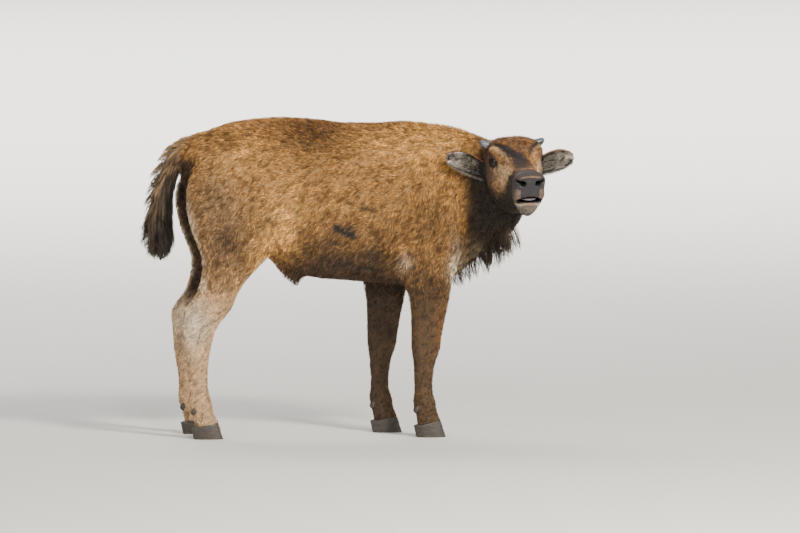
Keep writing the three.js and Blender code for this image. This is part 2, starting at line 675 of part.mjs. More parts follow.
addNode("torso", torso, coat);
addNode("neck", whole.add(fringeSolid()).intersect(foreOfTrunk).intersect(behindCut), coat);

let head = skull.add(neckSolid()).intersect(aheadOfCut).subtract(mouthSolid());
for (const [side, name] of [[-1, "right"], [1, "left"]]) {
  head = head.add(eyeball(side, eye.radius + eye.lid)).subtract(eyeball(side, eye.radius + gap));
  head = head.subtract(lidOpening(side)).subtract(nostrilCut(side));
  addNode(`eye_${name}`, eyeball(side, eye.radius), eyeDark, 0.1);
}
addNode("head", head, headCoat);
for (const [side, name] of [[-1, "right"], [1, "left"]]) {
  addNode(`ear_${name}`, earSolid(side).subtract(headCleared), headCoat);
  addNode(`horn_${name}`, hornSolid(side).subtract(headCleared), hornHorn, 0.4);
}
addNode("tongue", tongueSolid(), tonguePink, 0.3);
const body = bodyGrown(gap);
const spacing = tailFrame(tailCut).middle.distanceTo(tailFrame(tailCut + 1).middle);
addNode("tail_dock", tailSolid(0, tailCut, dockHair).subtract(body), tailCoat);
const tailSwitch = tailSolid(tailCut + gap / spacing, tailCore.last, switchHair);
addNode("tail_switch", tailSwitch.subtract(tailSolid(0, tailCut, dockHair, gap)).subtract(body), tailCoat);

const box = new THREE.Box3().setFromObject(group);
const middle = box.getCenter(new THREE.Vector3());
group.position.set(-middle.x, -middle.y, -box.min.z);

export default group;
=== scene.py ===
import math

import bpy
import numpy as np
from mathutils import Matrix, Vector


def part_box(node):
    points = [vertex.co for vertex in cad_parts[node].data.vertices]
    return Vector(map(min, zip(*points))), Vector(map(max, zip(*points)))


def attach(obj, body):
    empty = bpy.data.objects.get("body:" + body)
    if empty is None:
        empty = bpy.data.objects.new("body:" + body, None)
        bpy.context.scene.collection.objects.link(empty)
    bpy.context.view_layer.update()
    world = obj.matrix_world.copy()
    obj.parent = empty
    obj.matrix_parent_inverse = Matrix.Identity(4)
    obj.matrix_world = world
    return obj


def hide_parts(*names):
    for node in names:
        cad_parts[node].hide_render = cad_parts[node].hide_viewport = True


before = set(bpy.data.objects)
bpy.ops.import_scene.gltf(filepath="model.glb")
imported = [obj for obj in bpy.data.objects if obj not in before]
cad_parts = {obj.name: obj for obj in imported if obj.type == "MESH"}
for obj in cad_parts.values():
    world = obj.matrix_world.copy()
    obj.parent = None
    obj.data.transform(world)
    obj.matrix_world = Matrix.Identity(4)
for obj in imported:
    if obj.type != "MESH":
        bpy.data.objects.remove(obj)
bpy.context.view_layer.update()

mm = 0.001
dice = np.random.default_rng(7)  # every random draw comes from here, so each run is the same


# Linear light from an sRGB hex: below 0.04045 the part over 12.92, above it ((part + 0.055) / 1.055)^2.4.
def linear(hexColour):
    part = np.array([int(hexColour[i:i + 2], 16) for i in (1, 3, 5)]) / 255
    return np.where(part <= 0.04045, part / 12.92, ((part + 0.055) / 1.055) ** 2.4)


# 0 below low, 1 above high, and 3t^2 - 2t^3 between them.
def smoothStep(x, low, high):
    t = np.clip((np.asarray(x, float) - low) / (high - low), 0, 1)
    return t * t * (3 - 2 * t)


# The same step turned down: 1 below low, 0 above high.
def fade(x, low, high):
    return 1 - smoothStep(x, low, high)


# Each row divided by its own length.
def unit(v):
    return v / np.maximum(np.linalg.norm(v, axis=-1, keepdims=True), 1e-9)


# Value noise from -1 to 1: hashed corners of cells of this size, blended by smooth weights.
def noise(points, size, seed):
    q = points / size
    cell = np.floor(q).astype(np.int64)
    f = q - cell
    f = f * f * (3 - 2 * f)
    total = np.zeros(len(points))
    for corner in range(8):
        step = np.array([corner >> 2 & 1, corner >> 1 & 1, corner & 1])
        c = cell + step
        # large primes scatter the cells' numbers over 32 bits
        h = c[:, 0] * 73856093 ^ c[:, 1] * 19349663 ^ c[:, 2] * 83492791 ^ (seed * 97 + 13) * 26544357
        h = h & 0xFFFFFFFF
        h = ((h ^ (h >> 13)) * 1274126177) & 0xFFFFFFFF
        total += np.prod(np.where(step, f, 1 - f), axis=1) * (((h ^ (h >> 15)) & 0xFFFF) / 32767.5 - 1)
    return total


# All further columns of a table as a cubic Hermite curve of its first; slopes from the neighbours.
def through(rows, x):
    rows = np.asarray(rows, float)
    if rows[0, 0] > rows[-1, 0]:
        rows = rows[::-1]
    place, value = rows[:, 0], rows[:, 1:]
    low = np.maximum(np.arange(len(rows)) - 1, 0)
    high = np.minimum(np.arange(len(rows)) + 1, len(rows) - 1)
    slope = (value[high] - value[low]) / (place[high] - place[low])[:, None]
    x = np.asarray(x, float)
    i = np.clip(np.searchsorted(place, x, side="right") - 1, 0, len(rows) - 2)
    width = (place[i + 1] - place[i])[..., None]
    t = np.clip((x - place[i])[..., None] / width, 0, 1)
    start = value[i] * (1 + 2 * t) * (1 - t) ** 2 + slope[i] * width * t * (1 - t) ** 2
    return start + value[i + 1] * t * t * (3 - 2 * t) + slope[i + 1] * width * t * t * (t - 1)


# A superellipse whose upper and lower half have their own height and squareness.
def outline(angle, half, top, level, bottom, above, below):
    c, s = np.cos(angle), np.sin(angle)
    power = np.where(s > 0, 2 / above, 2 / below)
    reach = np.where(s > 0, top - level, level - bottom)
    return half * np.sign(c) * np.abs(c) ** power, level + reach * np.sign(s) * np.abs(s) ** power


# Places along a body, how far each is past its end, and its share of full size: a quarter circle's sine and
# cosine at both ends.
def ringPlaces(first, last, count, roundness, capRings=6):
    turn = np.arange(1, capRings + 1) / (capRings + 0.35) * math.pi / 2
    past, share = roundness * np.sin(turn), np.cos(turn)
    where = np.concatenate([np.full(capRings, first), np.linspace(first, last, count + 1),
                            np.full(capRings, last)])
    flat = np.zeros(count + 1)
    pasts = np.concatenate([-past[::-1], flat, past])
    return where[:, None], pasts[:, None], np.concatenate([share[::-1], flat + 1, share])[:, None]


# A mesh object at the origin from vertices and faces.
def makePiece(name, verts, faces, material=None):
    mesh = bpy.data.meshes.new(name)
    mesh.from_pydata(np.asarray(verts).tolist(), [], faces if isinstance(faces, list) else faces.tolist())
    mesh.validate()
    mesh.polygons.foreach_set("use_smooth", np.ones(len(mesh.polygons), bool))
    piece = bpy.data.objects.new(name, mesh)
    bpy.context.scene.collection.objects.link(piece)
    if material:
        mesh.materials.append(material)
    return piece


# Quads between closed rings, and triangles to a pole at each end.
def gridFaces(rings, around):
    i, j = np.meshgrid(np.arange(rings - 1), np.arange(around), indexing="ij")
    a, b = i * around + j, i * around + (j + 1) % around
    quads = np.stack([a, b, b + around, a + around], -1).reshape(-1, 4).tolist()
    k = np.arange(around)
    nextK = (k + 1) % around
    low, high = rings * around, rings * around + 1
    last = (rings - 1) * around
    capLow = np.stack([np.full(around, low), nextK, k], -1).tolist()
    capHigh = np.stack([np.full(around, high), last + k, last + nextK], -1).tolist()
    return quads + capLow + capHigh


# A closed surface over a grid of rings, with the rings' middles as poles; turned to face outwards.
def closedSkin(name, grid, material=None):
    rings, around, _ = grid.shape
    verts = np.concatenate([grid.reshape(-1, 3), [grid[0].mean(0), grid[-1].mean(0)]])
    faces = gridFaces(rings, around)
    tri = np.array([[f[0], f[k], f[k + 1]] for f in faces for k in range(1, len(f) - 1)])
    volume = np.einsum("ij,ij->i", verts[tri[:, 0]], np.cross(verts[tri[:, 1]], verts[tri[:, 2]])).sum()
    if volume < 0:
        faces = [f[::-1] for f in faces]
    return makePiece(name, verts, faces, material)


# One object that holds the meshes of several; the several are removed.
def joined(name, pieces):
    verts, faces, offset = [], [], 0
    for piece in pieces:
        v = pointsOf(piece)
        verts.append(v)
        faces += [[k + offset for k in p.vertices] for p in piece.data.polygons]
        offset += len(v)
        bpy.data.objects.remove(piece)
    return makePiece(name, np.concatenate(verts), faces)


# The vertices' places, one row each.
def pointsOf(piece):
    v = np.empty(len(piece.data.vertices) * 3)
    piece.data.vertices.foreach_get("co", v)
    return v.reshape(-1, 3)


# Moves the vertices to these rows.
def setPoints(piece, points):
    piece.data.vertices.foreach_set("co", np.asarray(points).ravel())
    piece.data.update()


# The vertices' smooth normals, one row each.
def normalsOf(piece):
    n = np.empty(len(piece.data.vertices) * 3)
    piece.data.vertices.foreach_get("normal", n)
    return n.reshape(-1, 3)


# The piece with one modifier applied to its mesh.
def modified(piece, kind, **settings):
    modifier = piece.modifiers.new(kind, kind)
    for key, value in settings.items():
        setattr(modifier, key, value)
    depsgraph = bpy.context.evaluated_depsgraph_get()
    mesh = bpy.data.meshes.new_from_object(piece.evaluated_get(depsgraph))
    piece.modifiers.clear()
    piece.data = mesh
    mesh.polygons.foreach_set("use_smooth", np.ones(len(mesh.polygons), bool))
    return piece


# A boolean of two closed pieces; the second is removed.
def combined(piece, other, operation):
    modified(piece, "BOOLEAN", object=other, operation=operation, solver="MANIFOLD")
    bpy.data.objects.remove(other)
    return piece


# Laplacian smoothing: each point moves a share of the way to its neighbours' middle.
def relaxed(piece, points, rounds, weight, mask=None):
    edges = np.empty(len(piece.data.edges) * 2, int)
    piece.data.edges.foreach_get("vertices", edges)
    a, b = edges.reshape(-1, 2).T
    count = np.maximum(np.bincount(np.concatenate([a, b]), minlength=len(points)), 1)[:, None]
    share = weight if mask is None else weight * mask[:, None]
    for _ in range(rounds):
        total = np.stack([np.bincount(a, points[b, k], len(points))
                          + np.bincount(b, points[a, k], len(points)) for k in range(3)], -1)
        points = points + share * (total / count - points)
    return points


legs = {
    # height, x of the middle, half length, distance from the middle plane, half thickness
    "hind": [
        [905, -318, 96, 76, 46], [848, -302, 136, 92, 66], [768, -283, 166, 104, 75],
        [688, -276, 157, 106, 73], [624, -278, 132, 106, 66], [582, -288, 109, 104, 60],
        [544, -306, 90, 102, 53], [506, -326, 76, 100, 46], [470, -343, 73, 98, 42],
        [438, -360, 78, 97, 40], [416, -376, 80, 96, 38], [397, -386, 75, 96, 37],
        [374, -395, 64, 95, 36], [346, -401, 55, 95, 34], [304, -405, 48, 94, 31],
        [256, -407, 41, 94, 28], [208, -405, 35, 93, 26], [154, -401, 34, 93, 27],
        [118, -397, 41, 93, 32], [88, -390, 38, 93, 31], [58, -379, 41, 93, 34], [22, -368, 44, 93, 34],
    ],
    "fore": [
        [860, 338, 70, 78, 40], [800, 338, 104, 92, 50], [704, 343, 124, 100, 56],
        [624, 343, 120, 102, 56], [570, 340, 105, 100, 52], [528, 340, 92, 98, 48],
        [490, 343, 80, 96, 45], [458, 347, 72, 95, 41], [416, 346, 64, 94, 38], [368, 342, 57, 92, 35],
        [320, 338, 52, 91, 36], [282, 336, 49, 90, 35], [243, 332, 39, 89, 30], [192, 329, 34, 88, 26],
        [144, 329, 33, 88, 26], [112, 332, 40, 88, 32], [82, 338, 38, 88, 31], [54, 346, 41, 88, 34],
        [20, 355, 44, 88, 34],
    ],
    # which table, side, how far back the foot stands, how far below its top the leg reaches that
    "each": [("hind", -1, 0, 120), ("hind", 1, 21, 120), ("fore", -1, 0, 420), ("fore", 1, 126, 420)],
    "nearForeFoot": (349.37, -88),  # where the middle of that foot's claws stands
}
head = {
    "place": (606, -130, 901), "heading": -83.5, "pitch": -12, "roll": 1.8,
    # s from the nape to the muzzle: top, bottom, half width, level, squareness above and below, lean back
    "stations": [
        [-18, 62, -95, 66, -5, 2.2, 2.1, 0], [10, 82, -122, 86, 20, 2.8, 2.3, 0],
        [40, 90, -142, 94, 30, 3.0, 2.4, 0], [75, 91, -150, 94, 30, 2.8, 2.5, 0],
        [105, 87, -148, 87, 27, 2.5, 2.4, 0], [135, 79, -140, 75, 18, 2.3, 2.3, 0],
        [165, 69, -130, 63, 4, 2.2, 2.2, 0.03], [200, 59, -119, 53, -10, 2.2, 2.2, 0.06],
        [235, 50, -110, 47, -16, 2.3, 2.2, 0.1], [265, 45, -110, 49, -8, 2.4, 2.1, 0.14],
        [288, 41, -106, 51, -2, 2.5, 2.1, 0.18], [298, 37, -98, 49, -2, 2.5, 2.1, 0.2],
    ],
    "round": 12,
    # swellings and hollows: centre s, w, h, reach along each, push along each; those off the middle are twins
    "forms": [
        [60, 0, 92, 46, 52, 30, 2, 0, 3], [98, 78, 56, 30, 22, 15, 2, 4, 4],
        [126, 68, 28, 16, 18, 14, 3, 4, 0], [106, 82, -6, 26, 22, 12, 0, 3, 0],
        [58, 90, 40, 22, 26, 18, 0, -5, 0], [66, 78, -52, 40, 34, 34, 0, 2, -2],
        [160, 60, -22, 30, 24, 26, 0, -4, 0], [190, 0, 66, 46, 40, 24, 0, 0, -4],
        [296, 34, 20, 18, 18, 18, 3, 4, 3], [296, 24, -28, 16, 26, 11, 4, 2, 0],
        [286, 0, -66, 16, 44, 11, 4, 0, 0], [276, 0, -106, 26, 26, 16, 3, 0, -6],
        [284, 44, -44, 20, 16, 15, 0, 5, 0],
    ],
    "coat": 4.5,
}


# Rows: ahead, left and up of the head: heading and pitch point it ahead, and it rolls around that line.
def headAxes():
    turn, pitch = math.radians(head["heading"]), math.radians(head["pitch"])
    ahead = np.array([math.cos(turn) * math.cos(pitch), math.sin(turn) * math.cos(pitch), math.sin(pitch)])
    left = np.array([-math.sin(turn), math.cos(turn), 0])
    up = np.cross(ahead, left)
    roll = math.radians(head["roll"])
    return np.stack([ahead, math.cos(roll) * left + math.sin(roll) * up,
                     math.cos(roll) * up - math.sin(roll) * left])


headBasis = headAxes()
toes = np.array([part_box(f"claw_foreleg_right_{which}") for which in ("inner", "outer")])
# the part stands with its box over the origin: this is how far its tables' origin lies from there
shift = (toes[:, 0].min(0) + toes[:, 1].max(0)) / 2 - np.array([*legs["nearForeFoot"], 0]) * mm
shift[2] = 0


# Head places (ahead, left, up, in mm) as frame places in metres.
def inHead(places):
    return (np.asarray(places, float) @ headBasis + head["place"]) * mm + shift


# Frame points in metres as head places in mm.
def toHead(points):
    return ((points - shift) / mm - head["place"]) @ headBasis.T


# The body tables' places (mm) as frame places in metres.
def inBody(places):
    return np.asarray(places, float) * mm + shift


# Frame points in metres as the body tables' places in mm.
def toBody(points):
    return (points - shift) / mm


print("the tables' origin lies at", shift.round(5))


# degrees round and up, metres away, metres across the picture at the calf, where it looks, sensor in mm
shot = {"side": -5.5, "rise": 4.5, "distance": 30, "across": 2.6, "target": (0.2612, 0, 0.5473), "sensor": 36}


# A long lens 30 m away, a little behind the calf's right side and a little above it.
def camera():
    side, rise = math.radians(shot["side"]), math.radians(shot["rise"])
    away = Vector((math.sin(side) * math.cos(rise), -math.cos(side) * math.cos(rise), math.sin(rise)))
    data = bpy.data.cameras.new("camera")
    data.sensor_width, data.lens = shot["sensor"], shot["sensor"] * shot["distance"] / shot["across"]
    data.clip_start, data.clip_end = 1, 200
    view = bpy.data.objects.new("camera", data)
    view.location = Vector(shift + shot["target"]) + away * shot["distance"]
    view.rotation_euler = (-away).to_track_quat("-Z", "Y").to_euler()
    bpy.context.scene.collection.objects.link(view)
    bpy.context.scene.camera = view


# A shader node with its settings, its sockets' values, and links into it from other nodes' sockets.
def addNode(tree, kind, inputs=None, links=None, **settings):
    node = tree.nodes.new(kind)
    for key, value in settings.items():
        setattr(node, key, value)
    for key, value in (inputs or {}).items():
        node.inputs[key].default_value = value
    for key, socket in (links or {}).items():
        tree.links.new(socket, node.inputs[key])
    return node


# A material with one Principled shader, whose uniform values are set on its own sockets.
def newMaterial(name, **values):
    material = bpy.data.materials.new(name)
    material.use_nodes = True
    shader = material.node_tree.nodes["Principled BSDF"]
    for key, value in values.items():
        shader.inputs[key.replace("_", " ")].default_value = value
    return material, material.node_tree, shader


sweep = {"front": -40, "bend": 36, "radius": 8, "half": 60, "top": 24, "colour": "#d9d8d4"}  # metres
lamps = {
    # place, aim, size across and up, watts, colour; the key stands to the upper right in front
    "key": ((3.4, -5.2, 4.6), (0, 0, 0.6), (1.3, 1.3), 800, (1.0, 0.945, 0.85)),
    "fill": ((-4.3, -5.6, 3.9), (0, 0, 0.6), (2.4, 2.0), 140, (1.0, 0.985, 0.96)),
    "above": ((-1.5, 3.2, 4.2), (0, 0, 0.6), (3.5, 2.5), 110, (1.0, 0.985, 0.96)),
    "sweep": ((0, 19, 12), (0, 19.1, 0), (44, 24), 14000, (1.0, 0.985, 0.96)),  # over the floor behind
    "glint": ((0.2, -5.4, 3.0), (0.6, 0, 0.9), (0.5, 0.5), 130, (1.0, 0.985, 0.96)),  # small, for the eyes
}
glow = {"colour": (0.9, 0.89, 0.87), "strength": 0.38, "floorSpread": 92}


# A pale sweep, flat and then z = r(1 - cos a) up behind, with its lamps and a soft glow from all around.
def floorAndLight():
    turn = np.linspace(0, math.pi / 2, 24)
    wall = sweep["bend"] + sweep["radius"]
    y = np.concatenate([[sweep["front"]], sweep["bend"] + sweep["radius"] * np.sin(turn), [wall]])
    z = np.concatenate([[0], sweep["radius"] * (1 - np.cos(turn)), [sweep["top"]]])
    verts = np.array([[x, yy, zz] for x in (-sweep["half"], sweep["half"]) for yy, zz in zip(y, z)])
    n = len(y)
    faces = [[i, i + n, i + n + 1, i + 1] for i in range(n - 1)]
    plaster, _, _ = newMaterial("matt plaster floor", Base_Color=(*linear(sweep["colour"]), 1), Roughness=0.9)
    floor = makePiece("floor", verts, faces, plaster)
    for name, (place, aim, size, watts, colour) in lamps.items():
        data = bpy.data.lights.new(name, "AREA")
        data.shape, data.size, data.size_y, data.energy = "RECTANGLE", *size, watts
        data.color = colour
        if name == "sweep":
            # it lights the floor behind, and little of the calf
            data.spread = math.radians(glow["floorSpread"])
        lamp = bpy.data.objects.new(name, data)
        lamp.location = place
        lamp.rotation_euler = (Vector(aim) - Vector(place)).to_track_quat("-Z", "Y").to_euler()
        bpy.context.scene.collection.objects.link(lamp)
    world = bpy.data.worlds.new("studio")
    world.use_nodes = True
    world.node_tree.nodes["Background"].inputs["Color"].default_value = (*glow["colour"], 1)
    world.node_tree.nodes["Background"].inputs["Strength"].default_value = glow["strength"]
    bpy.context.scene.world = world


camera()
floorAndLight()
print("camera, floor and light are set")


# Angles around one ring, the first not repeated.
def roundAngles(count):
    return np.linspace(0, 2 * math.pi, count, endpoint=False)[None, :]


trunk = {
    # x, top, bottom, half width, level of the widest point, squareness above and below
    "stations": [
        [-430, 960, 800, 62, 900, 2.0, 2.0], [-400, 983, 720, 105, 880, 2.0, 2.0],
        [-345, 1003, 655, 142, 850, 2.1, 2.0], [-280, 1024, 622, 162, 830, 2.2, 2.0],
        [-200, 1034, 592, 172, 800, 2.2, 2.0], [-110, 1038, 545, 180, 770, 2.2, 2.1],
        [-20, 1032, 512, 188, 745, 2.2, 2.2], [80, 1020, 503, 190, 735, 2.2, 2.2],
        [170, 1019, 495, 182, 735, 2.1, 2.2], [250, 1023, 490, 166, 740, 2.0, 2.1],
        [330, 1019, 489, 150, 750, 2.0, 2.1], [400, 1010, 500, 134, 760, 2.0, 2.0],
        [455, 1000, 524, 112, 775, 2.0, 2.0],
    ],
    "round": 34,
    "coat": 8.5,  # how deep the fur is here
}


# Superellipse rings along x; the ends shrink like a quarter circle past the last stations.
def trunkGrid(grow):
    rows = trunk["stations"]
    x, past, share = ringPlaces(rows[0][0], rows[-1][0], 70, trunk["round"] + grow)
    top, bottom, half, level, above, below = np.moveaxis(through(rows, x), -1, 0)
    across, up = outline(roundAngles(72), half + grow, top + grow, level, bottom - grow, above, below)
    return inBody(np.stack([x + past + 0 * across, across * share, level + (up - level) * share], -1))


neck = {
    # number, x, y, heading, top, bottom, half width, level, squareness above and below
    "stations": [
        [0, 390, 0, 0, 1010, 505, 120, 790, 2.0, 2.0], [1, 445, -4, -4, 1003, 518, 114, 790, 2.0, 2.0],
        [2, 497, -22, -22, 983, 562, 104, 790, 2.0, 1.9], [3, 546, -58, -42, 965, 598, 94, 800, 2.0, 1.8],
        [4, 582, -100, -60, 955, 634, 88, 815, 2.0, 1.7], [5, 602, -142, -74, 949, 668, 83, 830, 2.0, 1.7],
    ],
    "round": 30,
    "coat": 8.5,
}


# A place of the neck: along its bent line by t, and turned by its heading there.
def neckPlaces(t, past, share, across, up, level):
    x, y, heading = np.moveaxis(through(neck["stations"], t)[..., :3], -1, 0)
    c, s = np.cos(np.radians(heading)), np.sin(np.radians(heading))
    side = across * share
    return np.stack([x + past * c - side * s, y + past * s + side * c, level + (up - level) * share], -1)


# Superellipse rings along the neck's bent line, rounded at both ends.
def neckGrid(grow):
    t, past, share = ringPlaces(0, len(neck["stations"]) - 1, 40, neck["round"] + grow)
    top, bottom, half, level, above, below = np.moveaxis(through(neck["stations"], t)[..., 3:], -1, 0)
    across, up = outline(roundAngles(64), half + grow, top + grow, level, bottom - grow, above, below)
    return inBody(neckPlaces(t + 0 * across, past, share, across, up, level))


# How far a leg's middle is behind its table there: nothing at the top, all of it so far below.
def lean(rows, back, reach, level):
    return back * smoothStep(rows[0][0] - level, 0.14 * reach, reach)


# The fur's depth down a leg: 9 mm at the top, 3.5 mm on the shank.
def legDepth(level):
    return 3.5 + 5.5 * smoothStep(level, 330, 620)


# Superellipse rings down a leg, smaller than the table says by the fur's depth.
def legGrid(which, side, back, reach):
    rows = legs[which]
    level = np.linspace(rows[0][0], rows[-1][0], 90)[:, None]
    x, halfLength, y, halfThick = np.moveaxis(through(rows, level), -1, 0)
    depth = legDepth(level)
    halfThick, halfLength = halfThick - depth, halfLength - depth
    across, along = outline(roundAngles(40), halfThick, halfLength, 0, -halfLength, 2.2, 2.2)
    middle = x - lean(rows, back, reach, level)
    return inBody(np.stack([middle + along, side * y + across, level + 0 * across], -1))


sheath = {
    # x, bottom, half width
    "stations": [[-165, 578, 9], [-128, 530, 20], [-98, 498, 23], [-74, 484, 18], [-56, 500, 9]], "top": 575,
}


# Superellipse rings along x, with one level on top and a bottom that swells and ends in a tip.
def sheathGrid(grow):
    rows = sheath["stations"]
    x = np.linspace(rows[0][0], rows[-1][0], 24)[:, None]
    bottom, half = np.moveaxis(through(rows, x), -1, 0)
    level = (sheath["top"] + 2 * bottom) / 3
    across, up = outline(roundAngles(24), half + grow, sheath["top"], level, bottom - grow, 2, 2)
    return inBody(np.stack([x + 0 * across, across, up], -1))


tail = {
    # number, x, z, half length, half thickness
    "stations": [
        [0, -384, 966, 22, 24], [1, -405, 966, 27, 28], [2, -434, 948, 33, 31], [3, -462, 916, 37, 33],
        [4, -486, 874, 39, 34], [5, -502, 826, 39, 34], [6, -513, 774, 40, 35], [7, -520, 718, 45, 38],
        [8, -517, 664, 48, 39], [9, -520, 610, 35, 28], [10, -520, 572, 16, 12],
    ],
    "core": 0.5, "last": 8.4,  # the core's share of the full width, and the station where it ends
}


# A place around the tail's bent line: t stations down it, at an angle, a share of its full width out.
def tailPlaces(t, angle, share):
    rows = np.array(tail["stations"], float)
    x, z, half, thick = np.moveaxis(through(rows, np.clip(t, 0, 10)), -1, 0)
    low, high = through(rows, np.clip(t - 0.1, 0, 10)), through(rows, np.clip(t + 0.1, 0, 10))
    along = unit(high[..., :2] - low[..., :2])
    out = half * share * np.sin(angle)
    past = np.maximum(t - 10, 0) * 45
    return np.stack([x + out * along[..., 1] + past * along[..., 0], thick * share * np.cos(angle) + 0 * x,
                     z - out * along[..., 0] + past * along[..., 1]], -1)


# Rings around the tail's core: half its full width below the dock, and ending as sqrt(1 - t^6).
def tailGrid():
    t = np.linspace(0, tail["last"], 50)[:, None]
    share = (1 + (tail["core"] - 1) * smoothStep(t, 0, 1.2)) * np.sqrt(1 - (t / (tail["last"] + 0.15)) ** 6)
    return inBody(tailPlaces(t, roundAngles(20), share))


# Superellipse rings along the head, shrunk by the coat; each point is then pushed by the face's forms.
def skullGrid(coat, rings=150, around=200, capRings=30):
    rows = head["stations"]
    s, past, share = ringPlaces(rows[0][0], rows[-1][0], rings, head["round"], capRings)
    top, bottom, half, level, above, below, back = np.moveaxis(through(rows, s), -1, 0)
    depth = coat * (1 - 0.85 * smoothStep(s, 215, 275))
    crown = depth + 6 * fade(s, 60, 120)  # the hair is deep on the crown
    across, up = outline(roundAngles(around), half - depth, top - crown, level, bottom + depth, above, below)
    h = level + (up - level) * share
    return faceForms(np.stack([s + past + back * (h - level), across * share, h], -1))


# Each form adds its push times exp(-(distance over reach)^2); twins mirror their push across.
def faceForms(places):
    moved = places.copy()
    for cs, cw, ch, rs, rw, rh, *push in head["forms"]:
        for side in ((-1, 1) if cw else (1,)):
            gap = (places - [cs, side * cw, ch]) / [rs, rw, rh]
            moved += np.exp(-(gap ** 2).sum(-1))[..., None] * np.array(push) * [1, side, 1]
    return moved


voxel = {"body": 0.0077, "head": 0.0024}  # sides of the cells that the skin is melted together on, in metres


# Trunk, neck, legs, sheath, tail and skull melted together on cells and smoothed.
def bodySkin():
    # only as far as the cheeks: the muzzle has its own hollows
    skull = skullGrid(11, rings=30, around=48, capRings=6)
    shells = [closedSkin("shell", trunkGrid(-trunk["coat"])), closedSkin("shell", neckGrid(-neck["coat"])),
              closedSkin("shell", sheathGrid(-4)), closedSkin("shell", tailGrid()),
              closedSkin("shell", inHead(skull[skull[:, :, 0].max(1) < 190]))]
    shells += [closedSkin("shell", legGrid(*leg)) for leg in legs["each"]]
    body = modified(joined("skin", shells), "REMESH", mode="VOXEL", voxel_size=voxel["body"])
    points = pointsOf(body)
    # the shanks are thin, so they are smoothed less
    thick = smoothStep(toBody(points)[:, 2], 330, 520)
    points = relaxed(body, points, rounds=4, weight=0.5)
    points = relaxed(body, points, rounds=14, weight=0.6, mask=thick)
    setPoints(body, points)
    return body


body = bodySkin()
print("body skin:", len(body.data.polygons), "faces")


eye = {
    "s": 104, "w": 69, "h": 25, "radius": 19.5, "lid": 3.2, "aside": 57, "up": 4,  # middle, sizes, degrees
    "halfLength": 19, "halfHeight": 13.5,  # of the opening between the lids
    # how far out along the axis, and how much wider than the opening the cut is there
    "cut": [(6, 0.9), (15, 0.94), (18, 0.98), (21, 1.05), (25, 1.25), (34, 1.6)],
    "rim": (1.1, 1.2, 1.8),  # height of the raised rim, its distance from the edge and its half width
}


# Rows: out along the eye's axis, level across it, and up, in head directions.
def eyeAxes(side):
    aside, up = math.radians(side * eye["aside"]), math.radians(eye["up"])
    out = np.array([math.cos(aside) * math.cos(up), math.sin(aside) * math.cos(up), math.sin(up)])
    level = np.array([-math.sin(aside), math.cos(aside), 0]) * side  # towards the ear
    return np.stack([out, level, np.cross(out, level) * side])


# An eye's middle in head places.
def eyeMiddleOf(side):
    return np.array([eye["s"], side * eye["w"], eye["h"]], float)


# An ellipsoid's rings: three half sizes along the rows of axes, around a middle in head places.
def ball(middle, axes, sizes, around=40, rows=26):
    turn, rise = roundAngles(around), np.linspace(-math.pi / 2, math.pi / 2, rows + 2)[1:-1, None]
    sphere = np.stack([np.sin(rise) + 0 * turn, np.cos(rise) * np.cos(turn), np.cos(rise) * np.sin(turn)], -1)
    return inHead((sphere * sizes) @ axes + middle)


# Heights of the upper and the lower lid's edge over the eye's middle, for a share -1 to 1 across it.
def lidEdge(across):
    bow = np.clip(1 - np.abs(across) ** 2.2, 0, 1)
    high, low = eye["halfHeight"] * bow * (1 + 0.1 * across), -eye["halfHeight"] * 0.86 * bow
    return high - 1.5 * across, low - 1.5 * across


# An almond prism along the eye's axis, without a ball a little smaller than the eye's: the lids stay where
# the prism doesn't reach.
def lidOpening(side):
    across = np.cos(np.linspace(0, math.pi, 15))
    high, _ = lidEdge(across)
    _, low = lidEdge(-across[1:-1])
    rim = np.concatenate([np.stack([across, high], -1), np.stack([-across[1:-1], low], -1)])
    axes = eyeAxes(side)
    rings = []
    edge = rim[:, :1] * eye["halfLength"] * axes[1] + rim[:, 1:] * axes[2]
    for out, grow in eye["cut"]:
        rings.append(eyeMiddleOf(side) + out * axes[0] + edge * grow)
    prism = closedSkin("cut", inHead(np.array(rings)))
    inside = closedSkin("cut", ball(eyeMiddleOf(side), axes, [eye["radius"] - 5] * 3))
    return combined(prism, inside, "DIFFERENCE")


nostril = {
    # in mm, but slant and out in degrees
    "s": 303, "w": 30, "h": 12, "deep": 22, "half": 15, "high": 8.5, "slant": 27, "out": 24,
    "hole": (0, -6.5, -4), "slit": (0, 3, 1.5),  # where the two hollows lie from the middle, outwards and up
}


# Two joined ellipsoids: the round hole beside the septum, and the slit that runs out and up from it.
def nostrilHole(side):
    turn, roll = math.radians(side * nostril["out"]), math.radians(side * nostril["slant"])
    axes = np.array([[math.cos(turn), math.sin(turn), 0], [-math.sin(turn), math.cos(turn), 0], [0, 0, 1.0]])
    rolled = np.array([axes[0], math.cos(roll) * axes[1] + math.sin(roll) * axes[2],
                       math.cos(roll) * axes[2] - math.sin(roll) * axes[1]])
    middle = np.array([nostril["s"], side * nostril["w"], nostril["h"]], float)
    holeMiddle = middle + np.array(nostril["hole"]) * [1, side, 1]
    slitMiddle = middle + np.array(nostril["slit"]) * [1, side, 1] - [3, 0, 0]
    hole = closedSkin("cut", ball(holeMiddle, axes, [nostril["deep"], 10, nostril["high"] + 1.5]))
    slit = closedSkin("cut", ball(slitMiddle, rolled, [nostril["deep"] - 4, nostril["half"], 5]))
    return combined(hole, slit, "UNION")


mouth = {"corner": 226, "front": 330, "upper": -39, "lower": -57, "halfWidth": 45, "droop": 9, "seam": 1.8}


# Height of the line between the lips, so far beside the middle: it droops as a square.
def lipLine(aside):
    sag = mouth["droop"] * np.minimum(1, (aside / mouth["halfWidth"]) ** 2)
    return (mouth["upper"] + mouth["lower"]) / 2 - sag


